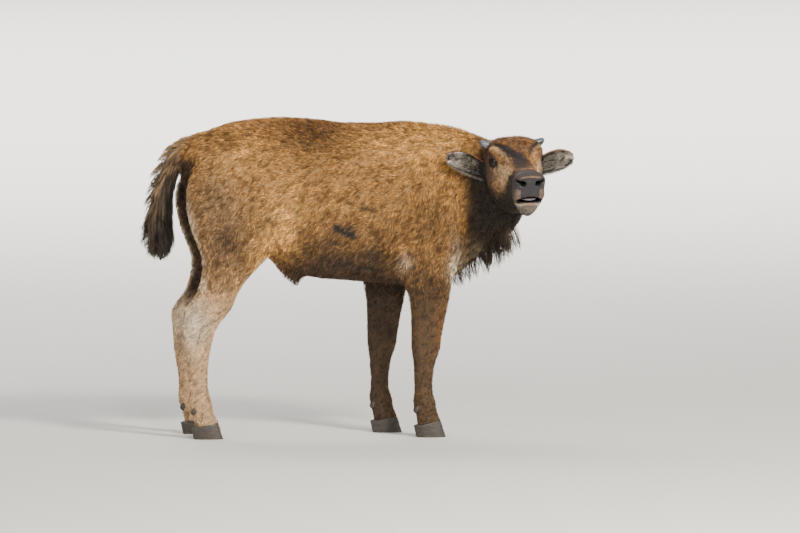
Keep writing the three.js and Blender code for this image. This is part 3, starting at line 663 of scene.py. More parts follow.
# The gap between the lips: a wedge across the muzzle, widest in front, that closes to a seam at the sides.
def mouthWedge():
    w = np.linspace(-1, 1, 41)[:, None] * (mouth["halfWidth"] + 16)
    side = np.minimum(1, np.abs(w) / mouth["halfWidth"])
    half = np.maximum(mouth["seam"] / 2, (mouth["upper"] - mouth["lower"]) / 2 * (1 - side ** 2.5))
    middle = lipLine(np.abs(w))
    share = np.array([0, 0.25, 0.45, 0.8, 1])
    openness = np.interp(share, [0, 0.45, 1], [0.12, 1, 1.25])
    s = mouth["corner"] + (mouth["front"] - mouth["corner"]) * share
    top = np.stack([s + 0 * w, w + 0 * s, middle + half * openness], -1)
    low = np.stack([s + 0 * w, w + 0 * s, middle - half * openness], -1)[:, ::-1]
    return closedSkin("cut", inHead(np.concatenate([top, low], 1)))


# the right ear (-1) is held higher at its tip than the left one (1)
ear = {"s": 28, "w": 76, "h": {-1: -33, 1: -24}, "length": 136, "back": -27, "rise": {-1: 50, 1: 20},
       "width": 34, "depth": 24, "wall": 5, "widest": 0.45, "root": 0.62, "bow": 2.1}


# A place of the ear, t of the way out and at a share -1 to 1 from its lower to its upper edge: an arc bent
# to a cup that opens forward, as wide as sqrt(1 - d^2.1) at d from its widest place, on its outer face or,
# where inner is 1, inside the cup by the wall's thickness.
def earPlaces(side, t, share, inner=0.0):
    reach = np.where(t < ear["widest"], ear["root"], 1 - ear["widest"])
    leaf = np.sqrt(1 - (np.abs(t - ear["widest"]) / reach) ** ear["bow"])
    width, depth = ear["width"] * leaf, ear["depth"] * leaf * (1.05 - 0.5 * t)
    wall = inner * np.minimum(ear["wall"], 0.45 * width) * (1.25 - 0.63 * t)
    bend = 1.35 - 0.35 * t
    turn = share * bend
    across = (width - wall) * np.sin(turn) / np.sin(bend)
    # soft folds inside the cup run along the ear
    ahead = (depth - wall) * -np.cos(turn) + inner * 1.3 * np.sin(turn * 7 + 1) * leaf
    return np.stack([ear["s"] + ear["back"] * t + ahead, side * (ear["w"] + ear["length"] * t) + 0 * turn,
                     ear["h"][side] + ear["rise"][side] * t + 7 * np.sin(math.pi * t) + across], -1)


# Rings along the ear: the outer arc one way and the inner one back.
def earGrid(side):
    t = (np.linspace(0, 1, 46) ** 0.8 * 0.99)[:, None]
    share = np.linspace(-1, 1, 19)[None, :]
    outer, inner = earPlaces(side, t, share), earPlaces(side, t, share * 0.96, 1.0)[:, ::-1]
    return inHead(np.concatenate([outer, inner], 1))


# exp(-(d/width)^2), with d the distance from each point to a bent line of short straight pieces.
def towards(points, line, width):
    line = np.asarray(line, float)
    best = np.full(len(points), 1e9)
    for a, b in zip(line[:-1], line[1:]):
        t = np.clip(((points - a) @ (b - a)) / ((b - a) @ (b - a)), 0, 1)
        best = np.minimum(best, ((points - a - t[:, None] * (b - a)) ** 2).sum(1))
    return np.exp(-best / width ** 2)


faceLines = {
    # folds and ridges: depth in mm (below 0 is a groove), half width, and the line's s, w, h; all are twins
    "foldOverEye": (-1.6, 3.0, [[127, 52, 37], [120, 62, 47], [106, 72, 50], [92, 80, 44], [84, 84, 34]]),
    "foldUnderEye": (-1.3, 3.0, [[128, 56, 24], [120, 68, 13], [106, 79, 11], [94, 85, 17]]),
    "bagUnderEye": (-1.0, 3.6, [[134, 54, 14], [124, 66, 2], [108, 78, 0], [92, 84, 6]]),
    "tearLine": (-1.5, 3.0, [[124, 54, 30], [136, 50, 22], [150, 47, 12]]),
    "noseWing": (1.6, 4.0,
                 [[302, 16, 24], [300, 30, 27], [294, 46, 24], [290, 51, 12], [294, 48, 0], [302, 38, -6]]),
    "wingFold": (-1.6, 3.0, [[286, 54, 22], [282, 55, 8], [284, 53, -6], [290, 49, -16]]),
    "capEdge": (-1.6, 3.0, [[269, 0, 46], [270, 20, 44], [273, 36, 36], [277, 47, 26]]),
    "noseFoldA": (-0.9, 2.6, [[284, 16, 44], [281, 30, 40], [278, 42, 30]]),
    "padEdge": (-3.2, 2.4, [[306, 0, 24], [305, 14, 25], [301, 30, 28], [296, 44, 25]]),
    "philtrum": (-1.4, 2.2, [[312, 0, 8], [312, 0, -8], [309, 0, -34]]),
    "padSide": (-1.4, 3.0, [[303, 40, -8], [306, 31, -18], [306, 28, -36]]),
    "upperLip": (1.0, 3.0, [[309, 0, -36], [304, 24, -37], [288, 42, -41], [262, 46, -47], [240, 46, -52]]),
    "lowerLip": (1.4, 3.6, [[300, 0, -62], [296, 22, -63], [282, 40, -64], [258, 45, -64]]),
    "chinFold": (-1.3, 4.0, [[292, 0, -76], [288, 22, -78], [274, 36, -82]]),
    "jawFold": (-1.4, 5.0, [[236, 47, -62], [222, 48, -66], [206, 50, -64]]),
    "cheekFold": (-1.2, 6.0, [[170, 60, -8], [160, 62, -40], [150, 62, -70]]),
}


# The skull with its eyes, nostrils and mouth cut in, remeshed on fine cells, and its folds pressed in.
def headSkin():
    skull = closedSkin("headSkin", inHead(skullGrid(head["coat"])))
    for side in (-1, 1):
        lids = ball(eyeMiddleOf(side), eyeAxes(side), [eye["radius"] + eye["lid"]] * 3)
        combined(skull, closedSkin("lids", lids), "UNION")
    for side in (-1, 1):
        combined(skull, lidOpening(side), "DIFFERENCE")
        combined(skull, nostrilHole(side), "DIFFERENCE")
    combined(skull, mouthWedge(), "DIFFERENCE")
    modified(skull, "REMESH", mode="VOXEL", voxel_size=voxel["head"])
    points = relaxed(skull, pointsOf(skull), rounds=3, weight=0.5)
    setPoints(skull, points)
    places, out = toHead(points), normalsOf(skull)
    push = np.zeros(len(points))
    for depth, width, line in faceLines.values():
        share = 0.5 if line[0][1] == 0 and line[-1][1] == 0 else 1  # a line in the middle is its own twin
        for side in (1, -1):
            push += depth * towards(places, np.array(line) * [1, side, 1], width) * share
    # lids: a raised rim around the opening
    height, beside, width = eye["rim"]
    for side in (-1, 1):
        axes = eyeAxes(side)
        local = (places - eyeMiddleOf(side)) @ axes.T
        across = np.clip(local[:, 1] / eye["halfLength"], -1, 1)
        high, low = lidEdge(across)
        gap = np.maximum(local[:, 2] - high, low - local[:, 2])
        past = np.abs(local[:, 1]) - eye["halfLength"]
        gap = np.where(past > 0, np.hypot(gap * 0.5, past), gap)
        near = (local[:, 0] > 4) & (np.linalg.norm(local, axis=1) < 40)
        push += height * np.exp(-((gap - beside) / width) ** 2) * near
    wrinkled = smoothStep(places[:, 0], 235, 262) * smoothStep(places[:, 2], -10, 15)
    push += 0.5 * noise(places, 5.0, 3) * wrinkled + 0.5 * noise(places, 16.0, 4)
    setPoints(skull, points + out * push[:, None] * mm)
    setPoints(skull, relaxed(skull, pointsOf(skull), rounds=1, weight=0.3))
    for side in (-1, 1):
        combined(skull, closedSkin("ear", earGrid(side)), "UNION")
    return skull


# Body and head as one closed skin, its crease under the jaw and behind the poll smoothed away.
def wholeSkin(body, top):
    skin = combined(body, top, "UNION")
    points = pointsOf(skin)
    place = toHead(points)
    crease = smoothStep(place[:, 0], -60, -5) * fade(place[:, 0], 45, 85) * (np.abs(place[:, 1]) < 95)
    nearEar = np.exp(-((place - [ear["s"], 0, ear["h"][1]]) / [60, 1e9, 40]) ** 2).prod(1)
    crease *= 1 - nearEar * (np.abs(place[:, 1]) > 60)
    setPoints(skin, relaxed(skin, points, rounds=14, weight=0.5, mask=crease))
    return skin


skin = wholeSkin(body, headSkin())
print("one skin:", len(skin.data.polygons), "faces")


coatColours = {
    "ochre": "#ab7f48", "rust": "#8f5c2f", "darkBack": "#573a1d", "belly": "#4a3a2c", "pale": "#cd9a50",
    "flank": "#f4be72", "cream": "#e4d4bc", "patch": "#4c3722", "bare": "#332e2d", "foreleg": "#4a3a2a",
    "shank": "#d0ae88", "throat": "#3c3024", "chest": "#8d7c66", "shoulder": "#805f36",
    "haunch": "#8b6f52", "tailTop": "#a3845f", "tailDark": "#3b342e",
    "face": "#9c6c3a", "crown": "#734d28", "bridge": "#30190a", "band": "#231f1e", "brow": "#e3ba8c",
    "bright": "#e0984c", "cheek": "#dfbb90", "underEye": "#56463a", "rimEye": "#1d1817",
    "muzzle": "#3d3536", "nose": "#343135", "tanLine": "#a07a58", "lipSide": "#7d6757",
    "lowerLip": "#bfb4a4", "chin": "#7b7068", "jaw": "#2a231e", "mouth": "#1a1515", "hole": "#030303",
    "earIn": "#222124", "earPale": "#cfc7c0", "earBack": "#8d6238",
}
coatColours = {name: linear(value) for name, value in coatColours.items()}


# A soft spot: exp(-((a - ma)/ra)^2 - ((b - mb)/rb)^2).
def blot(a, b, middle, reach):
    return np.exp(-((a - middle[0]) / reach[0]) ** 2 - ((b - middle[1]) / reach[1]) ** 2)


# 1 on the head, 0 on the neck and trunk, which lie behind the nape or far to the side.
def headShare(places):
    s, w, h = places.T
    return smoothStep(s, 2, 34) * fade(np.abs(w), 100, 116) * smoothStep(h, -230, -180)


# True on the ears: within a box around their own axis, which leans back and up on its way out.
def earShare(places):
    s, w, h = places.T
    across = np.abs(w)
    t = (across - ear["w"]) / ear["length"]
    right = w < 0
    level, rise = (np.where(right, ear[key][-1], ear[key][1]) for key in ("h", "rise"))
    s0, h0 = ear["s"] + ear["back"] * t, level + rise * t
    return (across > 84) & (across < 222) & (np.abs(s - s0 + 13) < 15.5) & (np.abs(h - h0) < 50)


# How far outside the lids' edge a head place is, in mm, below 0 inside it; and its distance from the eye.
def eyeGap(places, side):
    local = (places - eyeMiddleOf(side)) @ eyeAxes(side).T
    high, low = lidEdge(np.clip(local[:, 1] / eye["halfLength"], -1, 1))
    gap = np.maximum(local[:, 2] - high, low - local[:, 2])
    past = np.abs(local[:, 1]) - eye["halfLength"]
    gap = np.where(past > 0, np.hypot(np.maximum(gap * 0.5, 0), past), gap)
    return np.where(local[:, 0] > 2, gap, 99), np.linalg.norm(local, axis=1)


# A colour moved towards a named one by a weight, which is kept within 0 and 1.
def laidOver(colour, name, weight):
    return colour + np.clip(weight, 0, 1)[:, None] * (coatColours[name] - colour)


bodyMarks = {
    # the right side's scars: a line of x and z, its half width and its strength
    "scars": [([[38, 689], [58, 681], [100, 661]], 9, 1.6), ([[122, 753], [168, 743]], 6, 0.9),
              ([[-176, 712], [-156, 700]], 6, 0.9)],
    # and its bare spots: middle, reach, strength
    "spots": [((42, 686), (12, 11), 1.2), ((124, 769), (7, 6), 1.0), ((-180, 719), (8, 6), 0.9),
              ((281, 604), (7, 8), 0.8), ((86, 690), (14, 9), 0.9)],
    # painted shade in the creases where flank and elbow fold: x, z and how far up and down
    "creases": [(-62, 656, 62), (-44, 640, 50), (-80, 676, 40), (-26, 630, 36),
                (176, 640, 46), (196, 628, 60), (215, 615, 60), (236, 600, 44)],
    # the pale edge down the thighs' rear: x, z
    "rear": [[-450, 885], [-446, 780], [-428, 680], [-392, 565], [-396, 500]],
}


# Ochre, and over it one after another the zones of trunk, legs, throat and tail, each by its weight.
def bodyColour(points):
    x, y, z = toBody(points).T
    colour = np.tile(coatColours["ochre"], (len(points), 1))

    # One more zone over those so far.
    def lay(name, weight):
        nonlocal colour
        colour = laidOver(colour, name, weight)

    slow, mid = noise(points, 0.16, 1), noise(points, 0.05, 2)
    lay("shoulder", 0.8 * blot(x, z, (330, 720), (130, 150)) + 0.25 * slow)
    lay("pale", 0.55 * blot(x, z, (360, 930), (130, 70)) + 0.45 * blot(x, z, (-270, 920), (90, 70)))
    lay("rust", 0.3 * smoothStep(z, 960, 1025) + 0.15 * mid * smoothStep(z, 640, 760))
    lay("darkBack", 0.85 * blot(x, z, (-16, 985), (120, 62)) + 0.4 * blot(x, z, (-350, 960), (70, 40)))
    lay("darkBack", 0.2 * blot(x, z, (-30, 1010), (150, 30)))
    lay("darkBack", 0.8 * smoothStep(z, 1003, 1014) * smoothStep(x, 40, 90) * fade(x, 280, 340))
    lay("haunch", 0.8 * blot(x, z, (-340, 740), (100, 160)) + 0.5 * blot(x, z, (-300, 600), (90, 90)))
    lay("flank", 0.85 * blot(x, z, (-131, 710), (56, 110)) + 0.3 * blot(x, z, (-215, 590), (36, 80))
        + 0.08 * mid)
    lay("flank", 0.4 * blot(x, z, (300, 950), (160, 44)) + 0.3 * blot(x, z, (-270, 900), (90, 60)))
    # the lower belly darker: darker hair and painted shade under the trunk
    lay("belly", 0.9 * fade(z, 525, 630) * smoothStep(x, -190, -120) * fade(x, 175, 270))
    lay("belly", (0.85 + 0.35 * mid) * fade(z, 595, 760) * smoothStep(x, -120, 0) * fade(x, 150, 250))
    lay("patch", 0.75 * blot(x, z, (-312, 650), (46, 40)) + 0.35 * blot(x, z, (-255, 560), (30, 60)))
    # legs: brown in front, tan behind, paler towards the hock and shank
    hind = fade(x, -230, -160)
    lay("shank", 0.92 * hind * fade(z, 380, 600))
    # cream on the hock: pale hair and painted light
    lay("cream", 0.9 * blot(x, z, (-425, 375), (60, 80)))
    lay("foreleg", 0.9 * smoothStep(x, 80, 160) * fade(x, 400, 440) * fade(z, 470, 650))
    lay("rust", 0.45 * blot(x, z, (385, 340), (20, 120)) + 0.3 * blot(x, z, (-352, 230), (26, 90)))
    # neck and throat: nearly black under the head, dark hair with the head's painted shadow on the right
    # side; brown on the neck's left side, grey-brown on the chest
    outerSide = smoothStep(y + 0.6 * (x - 480), -5, 60) * smoothStep(z, 640, 740)
    dark = 0.97 * smoothStep(x, 436, 500) * fade(z, 850, 960) + 0.6 * smoothStep(x, 470, 540)
    lay("throat", dark * (1 - 0.8 * outerSide))
    lay("chest", (0.9 + 0.4 * mid) * smoothStep(x, 395, 440) * fade(z + 0.5 * (x - 495), 580, 670))
    # a painted highlight on the elbow's front, and the pale brisket
    lay("cream", 0.4 * blot(x, z, (266, 572), (24, 28)) + 0.9 * blot(x, z, (432, 548), (24, 44)))
    # painted shade between the thighs, behind the hind legs
    between = 0.85 * (np.abs(y) < 75) * smoothStep(-x, 395, 425)
    lay("patch", between * fade(z, 880, 920) * smoothStep(z, 480, 540))
    rear = towards(np.stack([x, z], -1), bodyMarks["rear"], 15)
    lay("cream", (0.8 + 0.5 * mid) * rear * smoothStep(np.abs(y), 60, 85))
    # painted shade in the crease behind the elbow
    lay("patch", 0.5 * blot(x - 0.1 * (z - 560), z, (228, 575), (5, 34)))
    # in the groin and between the legs: darker hair and painted shade
    inner = fade(np.abs(y), 78, 98)
    lay("belly", 0.95 * inner * fade(x, -230, -160) * smoothStep(z, 400, 480) * fade(z, 880, 930))
    elbow = 0.7 * inner * smoothStep(x, 60, 120) * fade(x, 400, 430)
    lay("belly", elbow * smoothStep(z, 250, 330) * (z < 520))
    for line, width, amount in bodyMarks["scars"]:
        lay("bare", amount * towards(np.stack([x, z], -1), line, width) * (y < 0))
    for place, reach, amount in bodyMarks["spots"]:
        lay("bare", amount * blot(x, z, place, reach) * (y < 0))
    # painted shade along the folds
    for middle, level, reach in bodyMarks["creases"]:
        lay("patch", 0.8 * blot(x + 0.12 * (z - level), z, (middle, level), (5, reach)))
    tailShare = (z > 560) * (np.abs(y) < 60) * (x < -452)
    lay("tailTop", tailShare)
    lay("tailDark", tailShare * fade(z, 790, 930))
    return colour


faceZones = {
    # bent lines of s, w, h; the bands sweep from the horns over the crown's corners, each side by its own way
    "brow": [[84, 74, 64], [97, 68, 71], [124, 54, 66], [150, 46, 60], [190, 40, 52]],
    "overNose": [[236, 30, 42], [254, 22, 45], [261, 8, 48]],
    "besideBridge": [[170, 28, 64], [190, 35, 55], [212, 41, 43], [241, 48, 24]],
    "overEye": [[76, 86, 36], [90, 82, 48], [108, 74, 50], [122, 64, 44]],
    "rightBand": [[33, 88, 60], [45, 82, 72], [62, 70, 81], [100, 52, 81], [130, 40, 75],
                  [155, 25, 69], [178, 10, 65]],
    "leftBand": [[33, 88, 60], [60, 72, 78], [115, 48, 78], [150, 33, 71], [170, 25, 65]],
    "capEdge": [[268, 0, 46], [269, 20, 44], [272, 36, 36], [277, 47, 26], [280, 52, 10]],
}


# The face's own zones, laid one over another in head places.
def headColour(places):
    s, w, h = places.T
    side = np.abs(w)
    colour = np.tile(coatColours["face"], (len(places), 1))

    # One more zone over those so far.
    def lay(name, weight):
        nonlocal colour
        colour = laidOver(colour, name, weight)

    # The same bent line on both halves of the face.
    def along(width, *line):
        return np.maximum(towards(places, line, width), towards(places * [1, -1, 1], line, width))

    mid, fine = noise(places, 22, 5), noise(places * [0.5, 1, 1], 3.6, 6)
    top = smoothStep(h, 30, 50)
    lay("crown", smoothStep(h, 58, 76) * fade(s, 130, 175) + 0.3 * mid)
    cheek = 1.05 * smoothStep(s, 70, 120) * fade(s, 200, 235) * fade(h, 12, 50)
    lay("cheek", cheek * (1 - 0.5 * smoothStep(-h, 10, 50)) + 0.45 * fine)
    lay("brow", (0.75 - 0.15 * np.sign(w)) * along(10, *faceZones["brow"]))
    lay("bridge", (1.4 + 0.6 * fine) * blot(w, s, (-8, 212), (38, 52)) * smoothStep(h, 22, 42))
    lay("bright", (0.8 + 0.3 * fine) * along(5, *faceZones["overNose"]))
    lay("bright", 0.95 * along(9, *faceZones["besideBridge"]) * (0.25 + 0.75 * (w > 0)))
    lay("underEye", 0.75 * blot(s, h, (112, -14), (34, 22)) * (side > 30)
        + 0.5 * blot(s, h, (60, -10), (40, 60)))
    lay("underEye", 0.9 * fade(s, 84, 114) * fade(h, 4, 34))
    lay("underEye", 0.95 * along(10, *faceZones["overEye"]) + 0.5 * fine * (h < 50) * (s < 240))
    # the charcoal bands meet between the eyes
    rightBand = towards(places * [1, -1, 1], faceZones["rightBand"], 9 + 8 * smoothStep(s, 70, 125))
    leftBand = towards(places, faceZones["leftBand"], 9)
    lay("band", (1.4 + 0.5 * fine) * rightBand + (1.0 + 0.5 * fine) * leftBand)
    lay("band", (1.0 + 0.4 * fine) * blot(w, s, (-10, 172), (22, 22)) * top + (0.3 * fine + 0.3 * mid) * top)
    lay("band", 0.85 * fade(np.hypot(s - 33, h - 58), 14, 26) * (side > 60))
    # under the jaw and on the nape: dark hair and painted shade; the nape's is weaker on the left, away from
    # the head's shadow
    under = 0.9 * fade(h, -115, -35) * fade(s, 235, 262)
    nape = 0.85 * fade(s, 26, 92) * (h < 60) * (1 - 0.6 * smoothStep(w, 20, 60))
    lay("jaw", under + nape)
    # the cheek's tan ends at a slanting line, and all is black from there to the muzzle: dark hair and
    # painted shade on the jaw's side
    past = smoothStep(1.05 * (s - 209) - h + 20 * mid + 14 * fine, -20, 20)
    lay("jaw", past * fade(s, 262, 269) * smoothStep(side, 14, 26))
    ridge = 0.75 * smoothStep(fine + 0.5 * mid, -0.1, 1.0) * (h < 70) * (s < 262)
    lay("bridge", ridge * smoothStep(s, 40, 70))
    # the muzzle: a charcoal cap with a black edge, a tan line over the wet nose, pale skin beside the lip
    lay("muzzle", smoothStep(s, 262, 270) * smoothStep(h, -70, -30))
    lay("rimEye", 0.9 * along(3.4, *faceZones["capEdge"]))
    front = s > 288
    overPad = 0.95 * np.exp(-((h - 31 + 0.004 * side ** 2) / 2.2) ** 2) * front
    lay("tanLine", overPad * fade(side, 28, 38) * (0.8 + 0.2 * np.sign(w)))
    beside = (0.95 + 0.5 * fine) * smoothStep(s, 268, 284) * smoothStep(-h, 8, 20) * fade(-h, 42, 50)
    lay("lipSide", beside * smoothStep(side, 28, 33) * (1 - 0.6 * smoothStep(side, 42, 52)))
    lay("chin", (1 + 0.5 * fine) * smoothStep(s, 225, 250) * fade(h, -74, -60))
    # the jaw's underside and lower sides: dark hair and painted shade
    lay("jaw", 0.7 * fade(h, -104, -88) + 0.5 * smoothStep(side, 30, 44) * (h < -66))
    lay("jaw", (0.35 + 0.8 * fine + 0.5 * mid) * smoothStep(s, 225, 250) * fade(h, -84, -68))
    low = np.exp(-((h + 64 + 0.1 * np.minimum(side, 40)) / 5.5) ** 2) * smoothStep(s, 240, 262)
    lay("lowerLip", low * (0.25 + 0.65 * smoothStep(side, 12, 26)))
    lay("nose", noseShare(places))
    # a painted shadow in the groove along the nose pad's upper rim
    lay("rimEye", 0.9 * np.exp(-((h - 25.5 + 0.002 * side ** 2) / 2.2) ** 2) * front * fade(side, 44, 50))
    # the lips' inner faces painted nearly black: painted shade inside the mouth
    middle = lipLine(side)
    between = np.abs(h - middle) < 11.5 - 4 * smoothStep(side, 20, 44)
    lay("mouth", smoothStep(s, 220, 228) * between * fade(side, 40, 50))
    for eyeSide in (-1, 1):
        gap, far = eyeGap(places, eyeSide)
        near = far < 60
        lay("band", 0.9 * np.exp(-(np.maximum(gap - 3, 0) / 7.5) ** 2) * near)
        lay("rimEye", fade(gap, 5.0, 8.5) * near)
        # the nostrils' insides painted nearly black: painted shade in the holes
        lay("hole", nostrilDark(places, eyeSide))
    return colour


# 1 inside a nostril, 0 past its rim: exp(-m^5), with m from the same two ellipsoids, a little larger.
def nostrilDark(places, side):
    roll = math.radians(side * nostril["slant"])
    gap = places - [nostril["s"] - 5, side * nostril["w"], nostril["h"]]
    c, sn = math.cos(roll), math.sin(roll)
    hole = ((gap - np.array(nostril["hole"]) * [1, side, 1]) / [nostril["deep"] + 6, 12, 12.5]) ** 2
    slit = (gap - np.array(nostril["slit"]) * [1, side, 1]) @ np.array([[1, 0, 0], [0, c, sn], [0, -sn, c]]).T
    slit = (slit / [nostril["deep"] + 4, nostril["half"] + 2, 7]) ** 2
    return np.exp(-np.minimum(hole.sum(1), slit.sum(1)) ** 5)


# 1 on the bare nose: as wide as the nostrils above, narrower towards the lip.
def noseShare(places):
    s, w, h = places.T
    half = 47 - 18 * smoothStep(-h, -2, 16)
    within = fade(np.abs(w), half, half + 4)
    return smoothStep(s, 288, 297) * smoothStep(h, -42, -36) * fade(h, 22, 26) * within


# 1 on the bare wet nose, lips and lids, 0 where fur grows.
def wetness(places):
    s, w, h = places.T
    side = np.abs(w)
    wet = noseShare(places) * (1 - nostrilDark(places, 1)) * (1 - nostrilDark(places, -1))
    middle = lipLine(side)
    wet = np.maximum(wet, smoothStep(s, 226, 240) * np.exp(-((h - middle) / 12) ** 4) * (side < 58))
    for eyeSide in (-1, 1):
        gap, far = eyeGap(places, eyeSide)
        wet = np.maximum(wet, fade(gap, 2.2, 3.6) * (far < 40))
    return wet


# Skin and coat take their colour here: body zones, the head's over them, and the ears' by which way they
# face; all times a fine grain.
def markings(points, normals):
    places = toHead(points)
    share = headShare(places)[:, None]
    colour = bodyColour(points) * (1 - share)
    colour += headColour(places) * share
    ears = earShare(places)
    if ears.any():
        ahead = normals[ears] @ headBasis[0]
        inside = smoothStep(ahead, -0.1, 0.35)[:, None]
        w = places[ears][:, 1]
        outwards = smoothStep(np.abs(w), 136, 178)[:, None]
        pale = (0.6 + 1.1 * noise(places[ears], 11, 7)).clip(0, 1)[:, None] * outwards
        within = coatColours["earIn"] + pale * (coatColours["earPale"] - coatColours["earIn"])
        colour[ears] = coatColours["earBack"] * (1 - inside) + within * inside
    grain = 1 + 0.10 * noise(points, 0.028, 8) + 0.08 * noise(points, 0.009, 9)
    return colour * grain[:, None]


# Stores one value for each vertex: a colour or a single number.
def paint(piece, name, colours, kind="FLOAT_COLOR"):
    attribute = piece.data.attributes.new(name, kind, "POINT")
    if kind == "FLOAT_COLOR":
        opaque = np.concatenate([colours, np.ones((len(colours), 1))], 1)
        attribute.data.foreach_set("color", opaque.astype(np.float32).ravel())
    else:
        attribute.data.foreach_set("value", np.asarray(colours, np.float32))


# A value from 0 to 1 stretched to run from low to high.
def ranged(tree, socket, low, high):
    node = addNode(tree, "ShaderNodeMapRange", {"To Min": low, "To Max": high}, {"Value": socket})
    return node.outputs["Result"]


# Base colour: the painted colour times a shade.
def tinted(tree, shader, colour, shade):
    tint = {0: colour.outputs["Color"], "Scale": shade}
    scaled = addNode(tree, "ShaderNodeVectorMath", operation="SCALE", links=tint)
    tree.links.new(scaled.outputs["Vector"], shader.inputs["Base Color"])


# cells to a metre: 2 mm nap and 2.4 mm pebbles; shade darkens the skin to 0.42-0.86 of its colour, painted
# shade in the gaps between the tufts; roughness and bump go from dry fur to the wet nose
hide = {"nap": 520, "pebbles": 420, "shade": (0.42, 0.86), "roughness": (0.78, 0.2), "bump": (0.45, 1.0),
        "relief": 0.0014, "sheen": 0.04, "specular": 0.4}


# Skin under short fur: dull, with a fine nap; the nose, lips and lids are pebbled, bare and wet.
def skinMaterial():
    material, tree, shader = newMaterial("short-haired hide")
    shader.inputs["Sheen Weight"].default_value = hide["sheen"]
    shader.inputs["Specular IOR Level"].default_value = hide["specular"]
    colour = addNode(tree, "ShaderNodeAttribute", attribute_name="coatColour")
    wet = addNode(tree, "ShaderNodeAttribute", attribute_name="wet")
    place = addNode(tree, "ShaderNodeTexCoord")
    where = {"Vector": place.outputs["Object"]}
    nap = addNode(tree, "ShaderNodeTexNoise", {"Scale": hide["nap"], "Detail": 3}, where)
    pebble = addNode(tree, "ShaderNodeTexVoronoi", {"Scale": hide["pebbles"]}, where)
    # the nap's shade darkens the skin: painted shade in the gaps between the tufts
    shade = ranged(tree, nap.outputs["Fac"], *hide["shade"])
    tinted(tree, shader, colour, shade)
    rough = ranged(tree, wet.outputs["Fac"], *hide["roughness"])
    tree.links.new(rough, shader.inputs["Roughness"])
    rise = {0: wet.outputs["Fac"], 2: nap.outputs["Fac"], 3: pebble.outputs["Distance"]}
    height = addNode(tree, "ShaderNodeMix", data_type="FLOAT", links=rise)
    strong = ranged(tree, wet.outputs["Fac"], *hide["bump"])
    relief = {"Height": height.outputs[0], "Strength": strong}
    bump = addNode(tree, "ShaderNodeBump", {"Distance": hide["relief"]}, relief)
    tree.links.new(bump.outputs["Normal"], shader.inputs["Normal"])
    return material


skin.data.materials.clear()
skin.data.materials.append(skinMaterial())
skin.data.polygons.foreach_set("material_index", np.zeros(len(skin.data.polygons), int))
paint(skin, "coatColour", markings(pointsOf(skin), normalsOf(skin)))
skinPlaces = toHead(pointsOf(skin))
paint(skin, "wet", wetness(skinPlaces) * headShare(skinPlaces), "FLOAT")
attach(skin, "root")
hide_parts("torso", "neck", "head", "ear_right", "ear_left", "tail_dock", "tail_switch",
            *[f"{end}leg_{side}" for end in ("hind", "fore") for side in ("right", "left")])
print("the skin is painted")


# The mesh's triangles, as rows of three vertex numbers.
def skinTriangles(piece):
    piece.data.calc_loop_triangles()
    tri = np.empty(len(piece.data.loop_triangles) * 3, int)
    piece.data.loop_triangles.foreach_get("vertices", tri)
    return tri.reshape(-1, 3)


# Random roots: triangles drawn by area times density, and a uniform place inside each; with smooth normals.
def scatter(piece, count, density):
    points, normals, tri = pointsOf(piece), normalsOf(piece), skinTriangles(piece)
    a, b, c = points[tri[:, 0]], points[tri[:, 1]], points[tri[:, 2]]
    area = np.linalg.norm(np.cross(b - a, c - a), axis=1) / 2
    total = np.cumsum(area * density((a + b + c) / 3))
    pick = np.searchsorted(total, dice.random(count) * total[-1])
    u, v = np.sqrt(dice.random(count)), dice.random(count)
    weights = np.stack([1 - u, u * (1 - v), u * v], -1)[..., None]
    return (points[tri[pick]] * weights).sum(1), unit((normals[tri[pick]] * weights).sum(1))


horn = {"s": 33, "w": 62, "h": 60, "out": 45, "up": 10, "back": -6, "radius": 14, "round": 5.2}


# 1 where no fur grows: the wet nose, lips and lids, the horns' feet and the soles' edge.
def bareShare(points):
    places = toHead(points)
    bare = wetness(places) * headShare(places)
    for side in (-1, 1):
        gap, far = eyeGap(places, side)
        bare = np.maximum(bare, (gap < 3.5) * (far < 40))
        foot = np.linalg.norm(places[:, [0, 2]] - [horn["s"], horn["h"] + 2], axis=1)
        bare = np.maximum(bare, (foot < 13) * (side * places[:, 1] > 45) * (side * places[:, 1] < 110))
    return np.maximum(bare, toBody(points)[:, 2] < 24)


# The hair's direction on trunk, neck and legs: back and down, straight down on legs, back along the neck.
def bodyLie(points):
    x, _, z = toBody(points).T
    down = 0.35 + 0.9 * fade(z, 560, 900) + 0.9 * fade(x, -330, -200) * fade(z, 880, 990)
    down += 0.8 * smoothStep(x, 220, 330) * fade(z, 860, 960)
    lie = np.stack([-np.ones(len(x)), 0 * x, -down], -1)
    leg = fade(z, 470, 600)[:, None]
    lie = lie * (1 - leg) + np.array([-0.1, 0, -1.3]) * leg
    heading = np.radians(-75 * smoothStep(x, 430, 620))
    front = smoothStep(x, 400, 480)[:, None]
    back = np.stack([-np.cos(heading), -np.sin(heading), -1.1 - 0 * x], -1)
    return lie * (1 - front) + back * front


# From a whorl between the eyes: on the crown outwards, down the nose bridge to the muzzle, on the cheeks
# back and down.
def headLie(places):
    s, w, h = places.T
    crown = unit(places - [88, 0, 60]) * [1, 1, 0.3]
    bridge = np.stack([np.ones(len(s)), 0.012 * w, 0 * s], -1)
    cheek = np.stack([-0.25 + 0 * s, np.sign(w) * 0.1, -1 + 0 * s], -1)
    jaw = np.stack([-1 + 0 * s, 0 * s, 0 * s], -1)
    top = smoothStep(h, 10, 50)[:, None]
    lie = cheek * (1 - top) + bridge * top
    under = fade(h, -110, -60)[:, None]
    lie = lie * (1 - under) + jaw * under
    high = (fade(s, 80, 120) * smoothStep(h, 40, 66))[:, None]
    return (lie * (1 - high) + crown * high) @ headBasis


